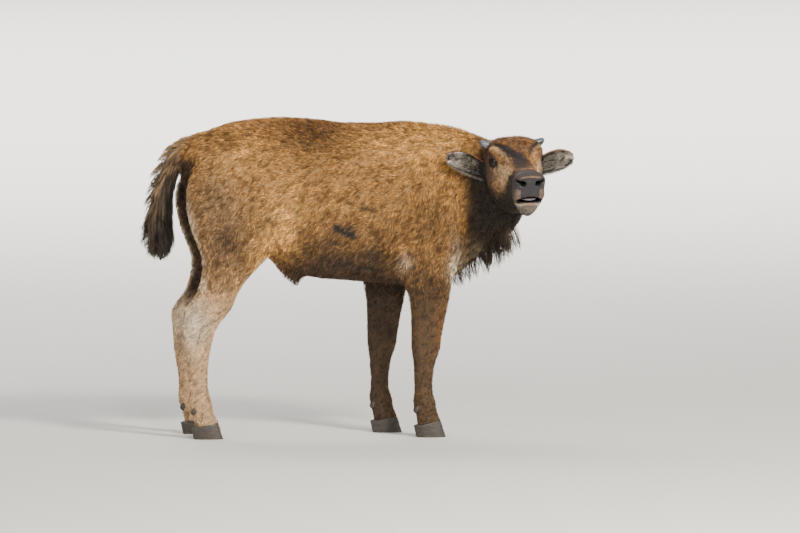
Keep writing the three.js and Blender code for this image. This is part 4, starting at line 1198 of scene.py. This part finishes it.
# Length, width, lift and direction of the fur at each root, and its clump's noise; from zones and swirls.
def coatOf(points, normals):
    x, _, z = toBody(points).T
    places = toHead(points)
    onHead = headShare(places)
    s, w, h = places.T
    high = smoothStep(z, 330, 620)
    length = 9 + 11 * high + 4 * smoothStep(z, 900, 1000) + 4 * smoothStep(x, 180, 330) * high
    length += 8 * (blot(x, z, (256, 566), (34, 34)) + blot(x, z, (436, 546), (30, 46))
                   + blot(x, z, (-445, 640), (30, 100)))
    length += 9 * blot(x, z, (-66, 492), (16, 16)) + 4 * fade(z, 510, 570) * smoothStep(z, 470, 500)
    face = 5 + 2 * fade(s, 120, 240) + 9 * smoothStep(h, 54, 78) * fade(s, 70, 130)
    face += 9 * fade(h, -110, -60) * fade(s, 180, 240) + 6 * fade(s, 25, 70)
    face -= 1.2 * smoothStep(s, 255, 285)
    length = length * (1 - onHead) + face * onHead
    onEar = earShare(places)
    length = np.where(onEar, 7.0, length)
    width = np.clip(0.7 + 0.085 * length, 1.1, 2.5)
    lift = 0.2 + 0.12 * noise(points, 0.05, 21) + 0.14 * noise(points, 0.016, 22)
    lift += 0.2 * onHead * smoothStep(h, 54, 78) * fade(s, 70, 130) - 0.06 * onHead
    lie = bodyLie(points) * (1 - onHead[:, None]) + headLie(places) * onHead[:, None]
    lie[onEar] = np.stack([0 * w, np.sign(w), 0 * w], -1)[onEar] @ headBasis
    lift = np.where(onEar, 0.22, lift)
    lie = unit(lie - (lie * normals).sum(1, keepdims=True) * normals)
    # swirls turn it in the skin's plane, and clumps draw neighbouring tips together
    turn = 0.22 * noise(points, 0.12, 23) + 0.28 * noise(points, 0.03, 24)
    turn += 0.26 * dice.normal(size=len(points))
    lie = lie * np.cos(turn)[:, None] + np.cross(normals, lie) * np.sin(turn)[:, None]
    step, size = 0.002, 0.017
    here = noise(points, size, 25)
    ahead = [noise(points + np.eye(3)[k] * step, size, 25) for k in range(3)]
    slope = np.stack([value - here for value in ahead], -1) / step * size
    slope -= (slope * normals).sum(1, keepdims=True) * normals
    lie = unit(lie + 0.22 * slope * (1 - 0.6 * onHead[:, None]))
    return length * mm, width * mm, lift, lie, here


# A place in 0..1 on an unwrap of the skin: trunk and neck (left and above) by x and by the angle around
# their middle line, each leg (left and below) by its height and angle, the head (right and above) by s and
# its angle, and the ears and the tail (right and below) by length.
def unwrapped(points):
    x, y, z = toBody(points).T
    places = toHead(points)
    s, w, h = places.T
    turn = np.arctan2(y, z - 760) / (2 * math.pi) + 0.5
    u = 0.02 + 0.70 * np.clip((x + 470) / 1110, 0, 1)
    v = 0.42 + 0.56 * turn
    leg = z < 520
    for k, (which, side, back, reach) in enumerate(legs["each"]):
        mine = leg & ((x > 0) == (which == "fore")) & ((y > 0) == (side > 0))
        level = np.clip(z, 20, 900)
        middle = through(legs[which], level)[:, 0] - lean(legs[which], back, reach, level)
        around = np.arctan2(y - side * 95, x - middle) / (2 * math.pi) + 0.5
        u = np.where(mine, 0.02 + 0.175 * k + 0.16 * around, u)
        v = np.where(mine, 0.02 + 0.38 * z / 520, v)
    onHead = headShare(places) > 0.5
    u = np.where(onHead, 0.74 + 0.24 * np.clip(s / 320, 0, 1), u)
    v = np.where(onHead, 0.42 + 0.56 * (np.arctan2(w, h + 20) / (2 * math.pi) + 0.5), v)
    ears = earShare(places)
    u = np.where(ears, np.where(w > 0, 0.86, 0.73) + 0.11 * np.clip((h + 70) / 110, 0, 1), u)
    v = np.where(ears, 0.02 + 0.18 * np.clip((np.abs(w) - 70) / 150, 0, 1), v)
    onTail = (x < -400) & (np.abs(y) < 60) & (z > 540) & (z < 985) & (x < -420 - 0.1 * (960 - z))
    u = np.where(onTail, 0.73 + 0.25 * (np.arctan2(y, x + 500) / (2 * math.pi) + 0.5), u)
    v = np.where(onTail, 0.22 + 0.17 * np.clip((985 - z) / 430, 0, 1), v)
    return np.stack([u, v], -1)


lock = {
    # the corners across and up, for a width and thickness of 1
    "section": [[-0.5, -0.3], [0.5, -0.3], [0.0, 0.7]],
    "patch": 0.003, "mostTriangles": 198000,
}


# Closed three-sided locks along bent lines (lock, ring, xyz), flat underneath; their width goes as
# (0.78 + 0.5t)(1 - t^2.2) and so ends in a point. They are cut into pieces of a limited number of
# triangles, and each lock has its own patch of the OFBake map, at its root's place on the unwrap.
def growLocks(name, lines, across, up, width, thick, rootColour, tipColour, material):
    count, rings = lines.shape[0], lines.shape[1] - 1
    along = np.linspace(0, 1, rings + 1)[:-1]
    wide = (0.78 + 0.5 * along) * (1 - along ** 2.2)
    corner = np.array(lock["section"])[None, None]
    sideways = across[:, None, None, :] * corner[..., :1] * (width[:, None] * wide)[:, :, None, None]
    upwards = up[:, None, None, :] * corner[..., 1:] * (thick[:, None] * wide)[:, :, None, None]
    body = lines[:, :-1, None, :] + (sideways + upwards)
    verts = np.concatenate([body.reshape(count, -1, 3), lines[:, -1:]], 1)
    faces = [[0, 2, 1]]
    for ring in range(rings - 1):
        for k in range(3):
            a, b = 3 * ring + k, 3 * ring + (k + 1) % 3
            faces += [[a, b, b + 3], [a, b + 3, a + 3]]
    last = 3 * (rings - 1)
    faces += [[last + k, last + (k + 1) % 3, 3 * rings] for k in range(3)]
    faces = np.array(faces)
    share = np.append(np.repeat(along, 3), 1.0)
    mix = smoothStep(share, 0.0, 0.9)[None, :, None]
    colours = rootColour[:, None, :] + (tipColour - rootColour)[:, None, :] * mix
    patch = np.stack([np.append(np.tile([0.0, 1.0, 0.5], rings), 0.5) - 0.5, share - 0.5], -1) * lock["patch"]
    uv = np.clip(unwrapped(lines[:, 0])[:, None, :] + patch, 0.0005, 0.9995)
    perPiece = lock["mostTriangles"] // len(faces)
    for number, start in enumerate(range(0, count, perPiece), 1):
        part = slice(start, min(start + perPiece, count))
        n = part.stop - part.start
        mesh = bpy.data.meshes.new(name)
        mesh.vertices.add(n * verts.shape[1])
        mesh.vertices.foreach_set("co", verts[part].astype(np.float32).ravel())
        corners = (faces[None] + (np.arange(n) * verts.shape[1])[:, None, None]).ravel()
        mesh.loops.add(len(corners))
        mesh.loops.foreach_set("vertex_index", corners.astype(np.int32))
        mesh.polygons.add(len(corners) // 3)
        mesh.polygons.foreach_set("loop_start", np.arange(0, len(corners), 3, dtype=np.int32))
        mesh.polygons.foreach_set("use_smooth", np.ones(len(corners) // 3, bool))
        mesh.update(calc_edges=True)
        layer = mesh.uv_layers.new(name="OFBake")
        layer.data.foreach_set("uv", uv[part].reshape(-1, 2)[corners].astype(np.float32).ravel())
        piece = bpy.data.objects.new(f"{name}{number}" if count > perPiece else name, mesh)
        bpy.context.scene.collection.objects.link(piece)
        paint(piece, "coatColour", colours[part].reshape(-1, 3))
        mesh.materials.append(material)
        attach(piece, "root")
    print(f"{name}: {count} locks, {count * len(faces)} triangles")


hair = {
    "wool": (0.68, 0.06), "long": (0.55, 0.05),  # roughness and sheen
    "sheenRoughness": 0.4, "specular": 0.22, "strands": 900, "shade": (0.7, 1.25),  # strands about 1 mm wide
}


# Keratin hair in woolly tufts: a dull gloss, a little sheen, and its colour from the markings.
def hairMaterial(name, roughness, sheen):
    material, tree, shader = newMaterial(name, Roughness=roughness, Sheen_Weight=sheen)
    shader.inputs["Sheen Roughness"].default_value = hair["sheenRoughness"]
    shader.inputs["Specular IOR Level"].default_value = hair["specular"]
    colour = addNode(tree, "ShaderNodeAttribute", attribute_name="coatColour")
    place = addNode(tree, "ShaderNodeTexCoord")
    fine = {"Scale": hair["strands"], "Detail": 2}
    strand = addNode(tree, "ShaderNodeTexNoise", fine, {"Vector": place.outputs["Object"]})
    tinted(tree, shader, colour, ranged(tree, strand.outputs["Fac"], *hair["shade"]))
    return material


wool = hairMaterial("woolly calf hair", *hair["wool"])
longHair = hairMaterial("long coarse hair", *hair["long"])
coat = {
    "bodyTufts": 100000, "headTufts": 26000, "quickShare": 0.35,
    # the root's darker shade is painted shade deep in the coat
    "root": 0.74, "tip": (1.34, 1.24, 1.08),  # shades of the marking's colour at both ends of a tuft
    "chance": 0.3, "clump": 0.35, "streak": 1.2,  # how much each changes the shade
    "streakWidth": 0.0055, "streakStretch": 0.7,  # 5.5 mm wide, and 5.5 / (1 - 0.7) = 18 mm long
}
lieMain = unit(np.array([-1, 0, -0.8]))  # back and down, as most of the coat lies


# Tufts that leave the skin steeply and bend down along the coat's lie; dark at the root, painted shade deep
# in the coat, and pale at the tip.
def shortCoat(name, count, density):
    roots, normals = scatter(skin, count, density)
    length, width, lift, lie, clump = coatOf(roots, normals)
    length = length * dice.uniform(0.75, 1.2, count)
    side = np.cross(normals, lie)
    bend = lift + 0.12 * dice.normal(size=count)
    sway = (0.26 * dice.normal(size=count))[:, None] * side
    start = lie * np.cos(bend + 0.7)[:, None] + normals * np.sin(bend + 0.7)[:, None] + 0.4 * sway
    rise = np.sin(np.maximum(bend - 0.35, -0.05))
    end = lie * np.cos(bend - 0.35)[:, None] + normals * rise[:, None] + sway
    reach = length[:, None]
    foot = roots - normals * 0.0012
    lines = np.stack([foot, foot + start * reach * 0.38, foot + start * reach * 0.45 + end * reach * 0.55], 1)
    colour = markings(roots, normals)
    # dark and pale streaks lie along the coat's own direction
    pressed = roots - coat["streakStretch"] * (roots @ lieMain)[:, None] * lieMain
    streak = noise(pressed, coat["streakWidth"], 26)
    shade = 1 + coat["chance"] * dice.normal(size=count) + coat["clump"] * clump + coat["streak"] * streak
    shade = shade[:, None].clip(0.3, 1.9)
    # roots darker than tips: painted shade deep in the coat
    growLocks(name, lines, side, unit(np.cross(side, start)) * -1, width, width * 0.55,
              colour * coat["root"] * shade, colour * np.array(coat["tip"]) * shade, wool)


# How thick the head's coat grows: 1 on the head, a little thicker on the ears, 0 where it is bare.
def headDensity(points):
    places = toHead(points)
    return np.maximum(headShare(places), 1.2 * earShare(places)) * (1 - bareShare(points))


# And the body's: 0 on head and ears, twice as thick on the shanks, where the hair is short.
def bodyDensity(points):
    places = toHead(points)
    onBody = 1 - np.maximum(headShare(places), earShare(places))
    return onBody * (1 - bareShare(points)) * (0.8 + 0.9 * fade(toBody(points)[:, 2], 330, 560))


quick = 1
shortCoat("bodyCoat", int(coat["bodyTufts"] * quick), bodyDensity)
shortCoat("headCoat", int(coat["headTufts"] * quick), headDensity)
print("the short coat is in place")


# how many locks and clumps; ears and lashes are counted for one side
longLocks = {"tail": 6000, "tailClumps": 280, "throat": 1150, "throatClumps": 80, "ears": 1700, "lashes": 46,
             "whiskers": 44}


# The given places as bent lines of four points: a quadratic Bezier over three, at 0, 0.4, 0.75 and 1.
def bentLines(*places):
    a, b, c = places
    t = np.array([0, 0.4, 0.75, 1])[None, :, None]
    return a[:, None] * (1 - t) ** 2 + b[:, None] * 2 * t * (1 - t) + c[:, None] * t * t


# Thin locks of long hair along bent lines; each is flat, and turned by chance around its own line.
def hang(name, lines, width, rootColour, tipColour, spread=0.18):
    count = len(lines)
    along = unit(lines[:, 1] - lines[:, 0])
    side = unit(np.cross(along, dice.normal(size=(count, 3))))
    shade = (1 + spread * dice.normal(size=count))[:, None].clip(0.45, 1.7)
    growLocks(name, lines, side, unit(np.cross(along, side)), width * mm, width * 0.5 * mm,
              rootColour * shade, tipColour * shade, longHair)


# Locks all around the tail: rooted in its core, they swing out and hang down in clumps with ragged points.
def tailHair(count, clumps):
    mine = dice.integers(0, clumps, count)
    clumpT = 0.5 + dice.random(clumps) ** 0.85 * 8.3
    clumpAngle = dice.random(clumps) * 2 * math.pi
    edge = np.maximum(0, np.sin(clumpAngle))  # 1 where the tail's rear edge is
    spike = (dice.random(clumps) < 0.55) * edge * smoothStep(clumpT, 0.5, 3)
    clumpReach = (0.85 + 1.5 * smoothStep(clumpT, 0.5, 5)) * dice.uniform(0.7, 1.2, clumps)
    clumpReach *= 1 - 0.55 * spike
    clumpFull = dice.uniform(0.6, 0.95, clumps) + spike * dice.uniform(0.3, 0.75, clumps)
    last = 8.9 + (1.2 + 0.9 * (1 - np.abs(np.sin(clumpAngle)))) * dice.random(clumps)
    clumpFull += 0.55 * smoothStep(clumpT, 5, 8) * dice.random(clumps)  # the end is ragged and broad
    clumpShade = np.exp(0.3 * dice.normal(size=clumps))
    t = np.clip(clumpT[mine] + 0.4 * dice.normal(size=count), 0, 9.2)
    angle = clumpAngle[mine] + 0.35 * dice.normal(size=count)
    end = np.maximum(np.minimum(clumpT + clumpReach, last)[mine] + 0.12 * dice.normal(size=count), t + 0.4)
    tipAngle = clumpAngle[mine] + 0.1 * dice.normal(size=count)
    full = clumpFull[mine]
    root = tailPlaces(t, angle, 0.42)
    middle = tailPlaces(t + (end - t) * 0.4, 0.5 * (angle + tipAngle), 0.86 * full)
    tip = tailPlaces(end, tipAngle, full + 0.05 * dice.normal(size=count))
    # the rear edge stays ochre far down, the side towards the legs is dark from the dock on
    rear = smoothStep(np.sin(angle) + 0.25 * dice.normal(size=count), -0.1, 1.0)
    dark = smoothStep(t, 0.8, 4.0) * (1 - rear) + 0.9 * smoothStep(t, 2.6, 7.0) * rear
    colour = coatColours["tailTop"] + (coatColours["tailDark"] - coatColours["tailTop"]) * dark[:, None]
    colour = colour * clumpShade[mine][:, None]
    lines = bentLines(inBody(root), inBody(middle), inBody(tip))
    hang("tailHair", lines, dice.uniform(1.3, 2.3, count), colour * 0.65, colour * 1.25, 0.3)


# A place so far out from the neck's surface, at an angle from the middle line underneath.
def underNeck(t, angle, rise):
    heading, _, bottom, half, level, _, below = np.moveaxis(through(neck["stations"], t)[..., 2:], -1, 0)
    c, s = np.sin(angle), np.cos(angle)
    across, down = np.sign(c) * np.abs(c) ** (2 / below), s ** (2 / below)
    normal = unit(np.stack([across * (level - bottom), -down * half], -1))
    place = neckPlaces(t, 0 * t, 1, across * half, level - down * (level - bottom), 0 * t)
    turn = np.radians(heading)
    out = np.stack([-np.sin(turn) * normal[:, 0], np.cos(turn) * normal[:, 0], normal[:, 1]], -1)
    return place + out * np.asarray(rise)[:, None]


# Long dark hairs under throat and brisket, in loose clumps: out, then down, and longest in the middle.
def throatFringe(count, clumps):
    mine = dice.integers(0, clumps, count)
    clumpT = dice.uniform(0.75, 5.15, clumps)
    clumpAngle = np.radians(np.clip(9 * dice.normal(size=clumps), -30, 30))
    longest = (76 - 50 * np.abs(clumpAngle)) * dice.uniform(0.3, 1.1, clumps)
    clumpOut = longest * (0.62 + 0.38 * smoothStep(clumpT, 0.7, 2))
    sway = 0.3 + 0.16 * dice.normal(size=clumps)
    t = clumpT[mine] + 0.1 * dice.normal(size=count)
    angle = clumpAngle[mine] + 0.12 * dice.normal(size=count)
    out = clumpOut[mine] * dice.uniform(0.8, 1.05, count)
    drop = np.stack([0 * t, 0 * t, -0.25 * np.abs(np.degrees(angle)) - 5], -1)
    root = underNeck(t, angle, 0 * t - 15)
    middle = underNeck(t + 0.06, angle * 0.95, 0.55 * out)
    tipT = (clumpT + sway)[mine] + 0.03 * dice.normal(size=count)
    tip = underNeck(tipT, clumpAngle[mine] * 0.85, out) + drop
    front = smoothStep(t, 1.0, 2.6)[:, None]
    colour = coatColours["foreleg"] * (1 - front) + coatColours["throat"] * front
    lines = bentLines(inBody(root), inBody(middle), inBody(tip))
    hang("throatFringe", lines, dice.uniform(0.8, 1.5, count), colour, colour * 0.6, 0.3)


# Fringes along both edges of each ear, and pale wisps that lie along the inside of the cup.
def earHair(count):
    lines, rootColour, tipColour, width = [], [], [], []
    for side in (-1, 1):
        kind = dice.random(count)
        t = dice.uniform(0.1, 0.97, count)
        upper, inside = kind < 0.36, kind > 0.66
        share = np.where(inside, dice.uniform(-0.85, 0.85, count), np.where(upper, 0.98, -0.98))
        t = np.where(inside, 0.08 + 0.82 * t, t)
        root = earPlaces(side, t, share, np.where(inside, 1.0, 0.3))
        out = np.where(inside, 14, np.where(upper, 9, 12)) * dice.uniform(0.6, 1.25, count)
        out = out * (1 - 0.4 * smoothStep(t, 0.5, 1))
        rise = np.where(inside, -0.5 * share, 0.75 * np.sign(share))
        lie = np.stack([np.where(inside, 0.3, 0.25), side * np.where(inside, 1.0, 0.85), rise], -1)
        lie = unit(lie + 0.22 * dice.normal(size=(count, 3))) * out[:, None]
        curl = np.stack([0 * t + 3, 0 * t, np.where(upper, -2.0, 1.0)], -1)
        middle = root + lie * 0.5 + curl * 0.6
        lines.append(bentLines(inHead(root - [1.5, 0, 0]), inHead(middle), inHead(root + lie)))
        pale = np.where(inside, 0.75, np.where(upper, 0.0, 0.5)) * dice.random(count) ** 0.5
        base = np.where(upper[:, None], coatColours["earBack"], coatColours["earIn"])
        rootColour.append(base * 0.8)
        tipColour.append(base + pale[:, None] * (coatColours["cream"] - base))
        width.append(np.where(inside, 1.1, 1.3) * dice.uniform(0.7, 1.2, count))
    hang("earHair", np.concatenate(lines), np.concatenate(width), np.concatenate(rootColour),
         np.concatenate(tipColour))


# Lashes out and down from each upper lid, and a few pale bristles on chin and lips.
def lashesAndWhiskers():
    lines, lashes, whiskers = [], longLocks["lashes"], longLocks["whiskers"]
    for side in (-1, 1):
        across = np.linspace(-0.8, 0.9, lashes) + 0.02 * dice.normal(size=lashes)
        high, _ = lidEdge(across)
        axes = eyeAxes(side)
        aside = across * eye["halfLength"]
        depth = np.sqrt(np.maximum((eye["radius"] + 2.2) ** 2 - aside ** 2 - high ** 2, 30))
        root = eyeMiddleOf(side) + depth[:, None] * axes[0] + aside[:, None] * axes[1]
        root += high[:, None] * axes[2]
        out = axes[0] * 7 + across[:, None] * axes[1] * 4
        middle, tip = root + out * 0.6 - axes[2] * 1.5, root + out * 1.1 + axes[2] * 1.0
        lines.append(bentLines(inHead(root - out * 0.1), inHead(middle), inHead(tip)))
    w = dice.uniform(-30, 30, whiskers)
    s = dice.uniform(262, 288, whiskers)
    root = np.stack([s, w, -84 + 0.004 * w ** 2 + dice.uniform(-8, 14, whiskers)], -1)
    out = np.stack([0.9 + 0 * w, 0.02 * w, -0.7 + 0 * w], -1) + 0.25 * dice.normal(size=(whiskers, 3))
    out = unit(out) * dice.uniform(9, 18, whiskers)[:, None]
    lines.append(bentLines(inHead(root), inHead(root + out * 0.5), inHead(root + out - [0, 0, 3])))
    dark, pale = coatColours["rimEye"], coatColours["lowerLip"]
    colour = np.concatenate([np.tile(dark, (lashes * 2, 1)), np.tile(pale, (whiskers, 1))])
    width = np.concatenate([np.full(lashes * 2, 0.8), np.full(whiskers, 0.5)])
    hang("lashesAndWhiskers", np.concatenate(lines), width, colour, colour)


tailHair(int(longLocks["tail"] * quick), longLocks["tailClumps"])
throatFringe(int(longLocks["throat"] * quick), longLocks["throatClumps"])
earHair(int(longLocks["ears"] * quick))
lashesAndWhiskers()
print("long hair is in place")


# A piece that takes a CAD node's place on the one body: it hangs from the root, and the node is hidden.
def standing(piece, node):
    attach(piece, "root")
    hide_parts(node)


gaze = {
    # the pupil's half length and height; where the iris ends
    "bulge": 1.2, "pupil": (8.2, 5), "iris": (12.2, 13.6),
    "roughness": 0.06, "index": 1.376, "specular": 0.8,  # a wet cornea's
    "white": "#1d1816", "brown": "#110a06", "rim": "#0c0908", "black": "#040404",
}


# A wet cornea over a dark brown iris: almost mirror smooth, its colour painted on.
def eyeMaterial():
    wet = {"Roughness": gaze["roughness"], "IOR": gaze["index"]}
    material, tree, shader = newMaterial("wet cornea and iris", **wet)
    shader.inputs["Specular IOR Level"].default_value = gaze["specular"]
    colour = addNode(tree, "ShaderNodeAttribute", attribute_name="irisColour")
    tree.links.new(colour.outputs["Color"], shader.inputs["Base Color"])
    return material


# A ball with a raised cornea, coloured by the distance from its axis: a level oval pupil, iris and white.
def eyeBall(side, material):
    axes, middle = eyeAxes(side), eyeMiddleOf(side)
    name = "eyeRight" if side < 0 else "eyeLeft"
    piece = closedSkin(name, ball(middle, axes, [eye["radius"]] * 3, around=96, rows=70), material)
    local = (toHead(pointsOf(piece)) - middle) @ axes.T
    out = np.hypot(local[:, 1], local[:, 2])
    ahead = local[:, 0] > 0
    local[:, 0] += gaze["bulge"] * np.exp(-(out / 9) ** 2) * ahead
    setPoints(piece, inHead(local @ axes + middle))
    long, high = gaze["pupil"]
    pupil = fade(np.hypot(local[:, 1] / long, local[:, 2] / high), 0.85, 1.1)
    iris = fade(out, *gaze["iris"])
    rays = np.stack([np.arctan2(local[:, 2], local[:, 1]) * 9, out * 0.2, 0 * out], -1)
    streak = 0.75 + 0.5 * noise(rays, 1.0, 31) ** 2
    white, brown, rim, black = (linear(gaze[part]) for part in ("white", "brown", "rim", "black"))
    colour = white + iris[:, None] * (brown * streak[:, None] - white)
    colour += (np.exp(-((out - 12.8) / 1.2) ** 2) * 0.8)[:, None] * (rim - colour)
    colour += (pupil * ahead)[:, None] * (black - colour)
    paint(piece, "irisColour", colour)
    standing(piece, "eye_right" if side < 0 else "eye_left")


keratin = {
    # colours of the dark and the pale layers, roughness, layers' scale, and their stretch along x, y and z
    "horn": ("#141418", "#74787f", 0.3, 34, (1.0, 1.6, 1.0)),
    "hoof": ("#1f1b18", "#4a423a", 0.5, 40, (1.0, 1.0, 7.0)),
}


# Keratin horn, grown in fine rings: grey layers, a dull polish, shallow grooves across its growth.
def hornMaterial(name, dark, pale, roughness, scale, stretch):
    material, tree, shader = newMaterial(name, Roughness=roughness)
    shader.inputs["Specular IOR Level"].default_value = 0.55
    where = addNode(tree, "ShaderNodeTexCoord")
    mapping = addNode(tree, "ShaderNodeMapping", {"Scale": stretch}, {"Vector": where.outputs["Object"]})
    fine = {"Scale": scale, "Detail": 5, "Roughness": 0.6}
    layer = addNode(tree, "ShaderNodeTexNoise", fine, {"Vector": mapping.outputs["Vector"]})
    ramp = addNode(tree, "ShaderNodeValToRGB", links={"Fac": layer.outputs["Fac"]})
    for stop, place, colour in zip(ramp.color_ramp.elements, (0.3, 0.72), (dark, pale)):
        stop.position, stop.color = place, (*linear(colour), 1)
    tree.links.new(ramp.outputs["Color"], shader.inputs["Base Color"])
    bump = addNode(tree, "ShaderNodeBump", {"Strength": 0.5, "Distance": 0.0008},
                   {"Height": layer.outputs["Fac"]})
    tree.links.new(bump.outputs["Normal"], shader.inputs["Normal"])
    return material


# Rings whose radius falls as sqrt(1 - t^5.2), along a line that rises as t^2; ripples run around the foot.
def hornGrid(side):
    t = (1 - (1 - np.linspace(0, 1, 60)) ** 1.6)[:, None] * 0.996
    radius = horn["radius"] * np.sqrt(1 - t ** horn["round"]) * (1 + 0.02 * np.sin(t * 60) * (1 - t))
    turn = roundAngles(40)
    s = horn["s"] + horn["back"] * t + radius * np.cos(turn)
    w = side * (horn["w"] + horn["out"] * t) + 0 * turn
    h = horn["h"] + horn["up"] * t * t + radius * np.sin(turn)
    return inHead(np.stack([s, w, h], -1))


claw = {"front": 55, "rear": 37, "halfLength": 44, "length": 47, "width": 16, "apart": 18.5, "ahead": 8,
        "sole": 0.94, "taper": 0.3, "back": 0.3, "gap": 0.6, "middle": 10}


# An oval, narrower at the toe as 1 - 0.3 cos^2, leaning back from its flat sole up to a slanting coronet.
def clawGrid(footX, y):
    rise = np.concatenate([[0, 0.02], np.linspace(0.06, 0.94, 22), [0.985, 1]])[:, None]
    turn = roundAngles(64)
    c, s = np.cos(turn), np.sin(turn)
    slope = (claw["front"] - claw["rear"]) / (2 * claw["halfLength"])
    inset = np.where(rise < 0.01, 0.955, 1) * np.where(rise > 0.99, 0.9, 1) * np.where(rise > 0.97, 0.97, 1)
    size = (1 + (claw["sole"] - 1) * rise) * inset * (1 + 0.008 * np.sin(rise * 34))
    x = claw["ahead"] + claw["length"] * size * c
    top = (claw["front"] + claw["rear"]) / 2 + slope * (x - claw["middle"])
    z = rise * (top - claw["gap"])
    x = footX + x - claw["back"] * z
    narrow = 1 - claw["taper"] * np.maximum(0, c) ** 2
    across = claw["width"] * size * narrow * s
    return inBody(np.stack([x, y + across, z], -1))


spur = {"level": 92, "behind": 38, "apart": 16, "length": 16, "half": 8.5, "flat": 0.8, "lean": 28}


# An ellipsoid whose upper end leans forward by some degrees.
def spurGrid(footX, y):
    c, s = math.cos(math.radians(spur["lean"])), math.sin(math.radians(spur["lean"]))
    axes = np.array([[c, 0, -s], [0, 1, 0], [s, 0, c]])
    rise, turn = np.linspace(-math.pi / 2, math.pi / 2, 22)[1:-1, None], roundAngles(26)
    flat = np.cos(rise)
    unitBall = np.stack([flat * np.cos(turn), flat * np.sin(turn), np.sin(rise) + 0 * turn], -1)
    middle = np.array([footX - spur["behind"], y, spur["level"]])
    sizes = [spur["half"], spur["half"] * spur["flat"], spur["length"]]
    return inBody((unitBall * sizes) @ axes + middle)


tongue = {
    "from": 234, "to": 303, "half": 30, "middle": -48.5, "thick": 4.8, "groove": (1.2, 4),  # mm
    "colour": "#5f595d", "roughness": 0.16, "flesh": 0.15, "buds": 600,
}


# A flat ellipsoid with a shallow groove along its middle.
def tongueGrid():
    half = (tongue["to"] - tongue["from"]) / 2
    rise, turn = np.linspace(-math.pi / 2, math.pi / 2, 40)[1:-1, None], roundAngles(48)
    s = half * np.sin(rise) + 0 * turn
    w = tongue["half"] * np.cos(rise) * np.cos(turn)
    h = tongue["thick"] * np.cos(rise) ** 0.7 * np.sin(turn)
    deep, wide = tongue["groove"]
    h = h - deep * np.exp(-(w / wide) ** 2) * (h > 0)
    return inHead(np.stack([tongue["from"] + half + s, w, tongue["middle"] + h], -1))


# Wet grey flesh with small rounded buds.
def tongueMaterial():
    material, tree, shader = newMaterial("wet tongue", Roughness=tongue["roughness"])
    shader.inputs["Subsurface Weight"].default_value = tongue["flesh"]
    shader.inputs["Base Color"].default_value = (*linear(tongue["colour"]), 1)
    place = addNode(tree, "ShaderNodeTexCoord")
    buds = addNode(tree, "ShaderNodeTexVoronoi", {"Scale": tongue["buds"]},
                   {"Vector": place.outputs["Object"]})
    bump = addNode(tree, "ShaderNodeBump", {"Strength": 0.4, "Distance": 0.0008},
                   {"Height": buds.outputs["Distance"]})
    tree.links.new(bump.outputs["Normal"], shader.inputs["Normal"])
    return material


cornea = eyeMaterial()
hornKeratin = hornMaterial("grey-blue horn", *keratin["horn"])
hoofKeratin = hornMaterial("dark hoof horn", *keratin["hoof"])
for side, name in ((-1, "right"), (1, "left")):
    eyeBall(side, cornea)
    standing(closedSkin("horn" + name.title(), hornGrid(side), hornKeratin), "horn_" + name)
for which, side, back, _ in legs["each"]:
    rows = legs[which]
    footX = rows[-2][1] - back
    y = side * rows[-1][3]
    node = which + "leg_" + ("left" if side > 0 else "right")
    name = which + ("LegLeft" if side > 0 else "LegRight")
    for place, apart in (("inner", -side), ("outer", side)):
        for part, grid, own, kind in (("Claw", clawGrid, claw, "claw"), ("Spur", spurGrid, spur, "dewclaw")):
            shape = grid(footX, y + apart * own["apart"])
            piece = closedSkin(f"{name}{part}{place.title()}", shape, hoofKeratin)
            standing(piece, f"{kind}_{node}_{place}")
standing(closedSkin("tongueTip", tongueGrid(), tongueMaterial()), "tongue")
print("eyes, horns, claws and tongue are in place")
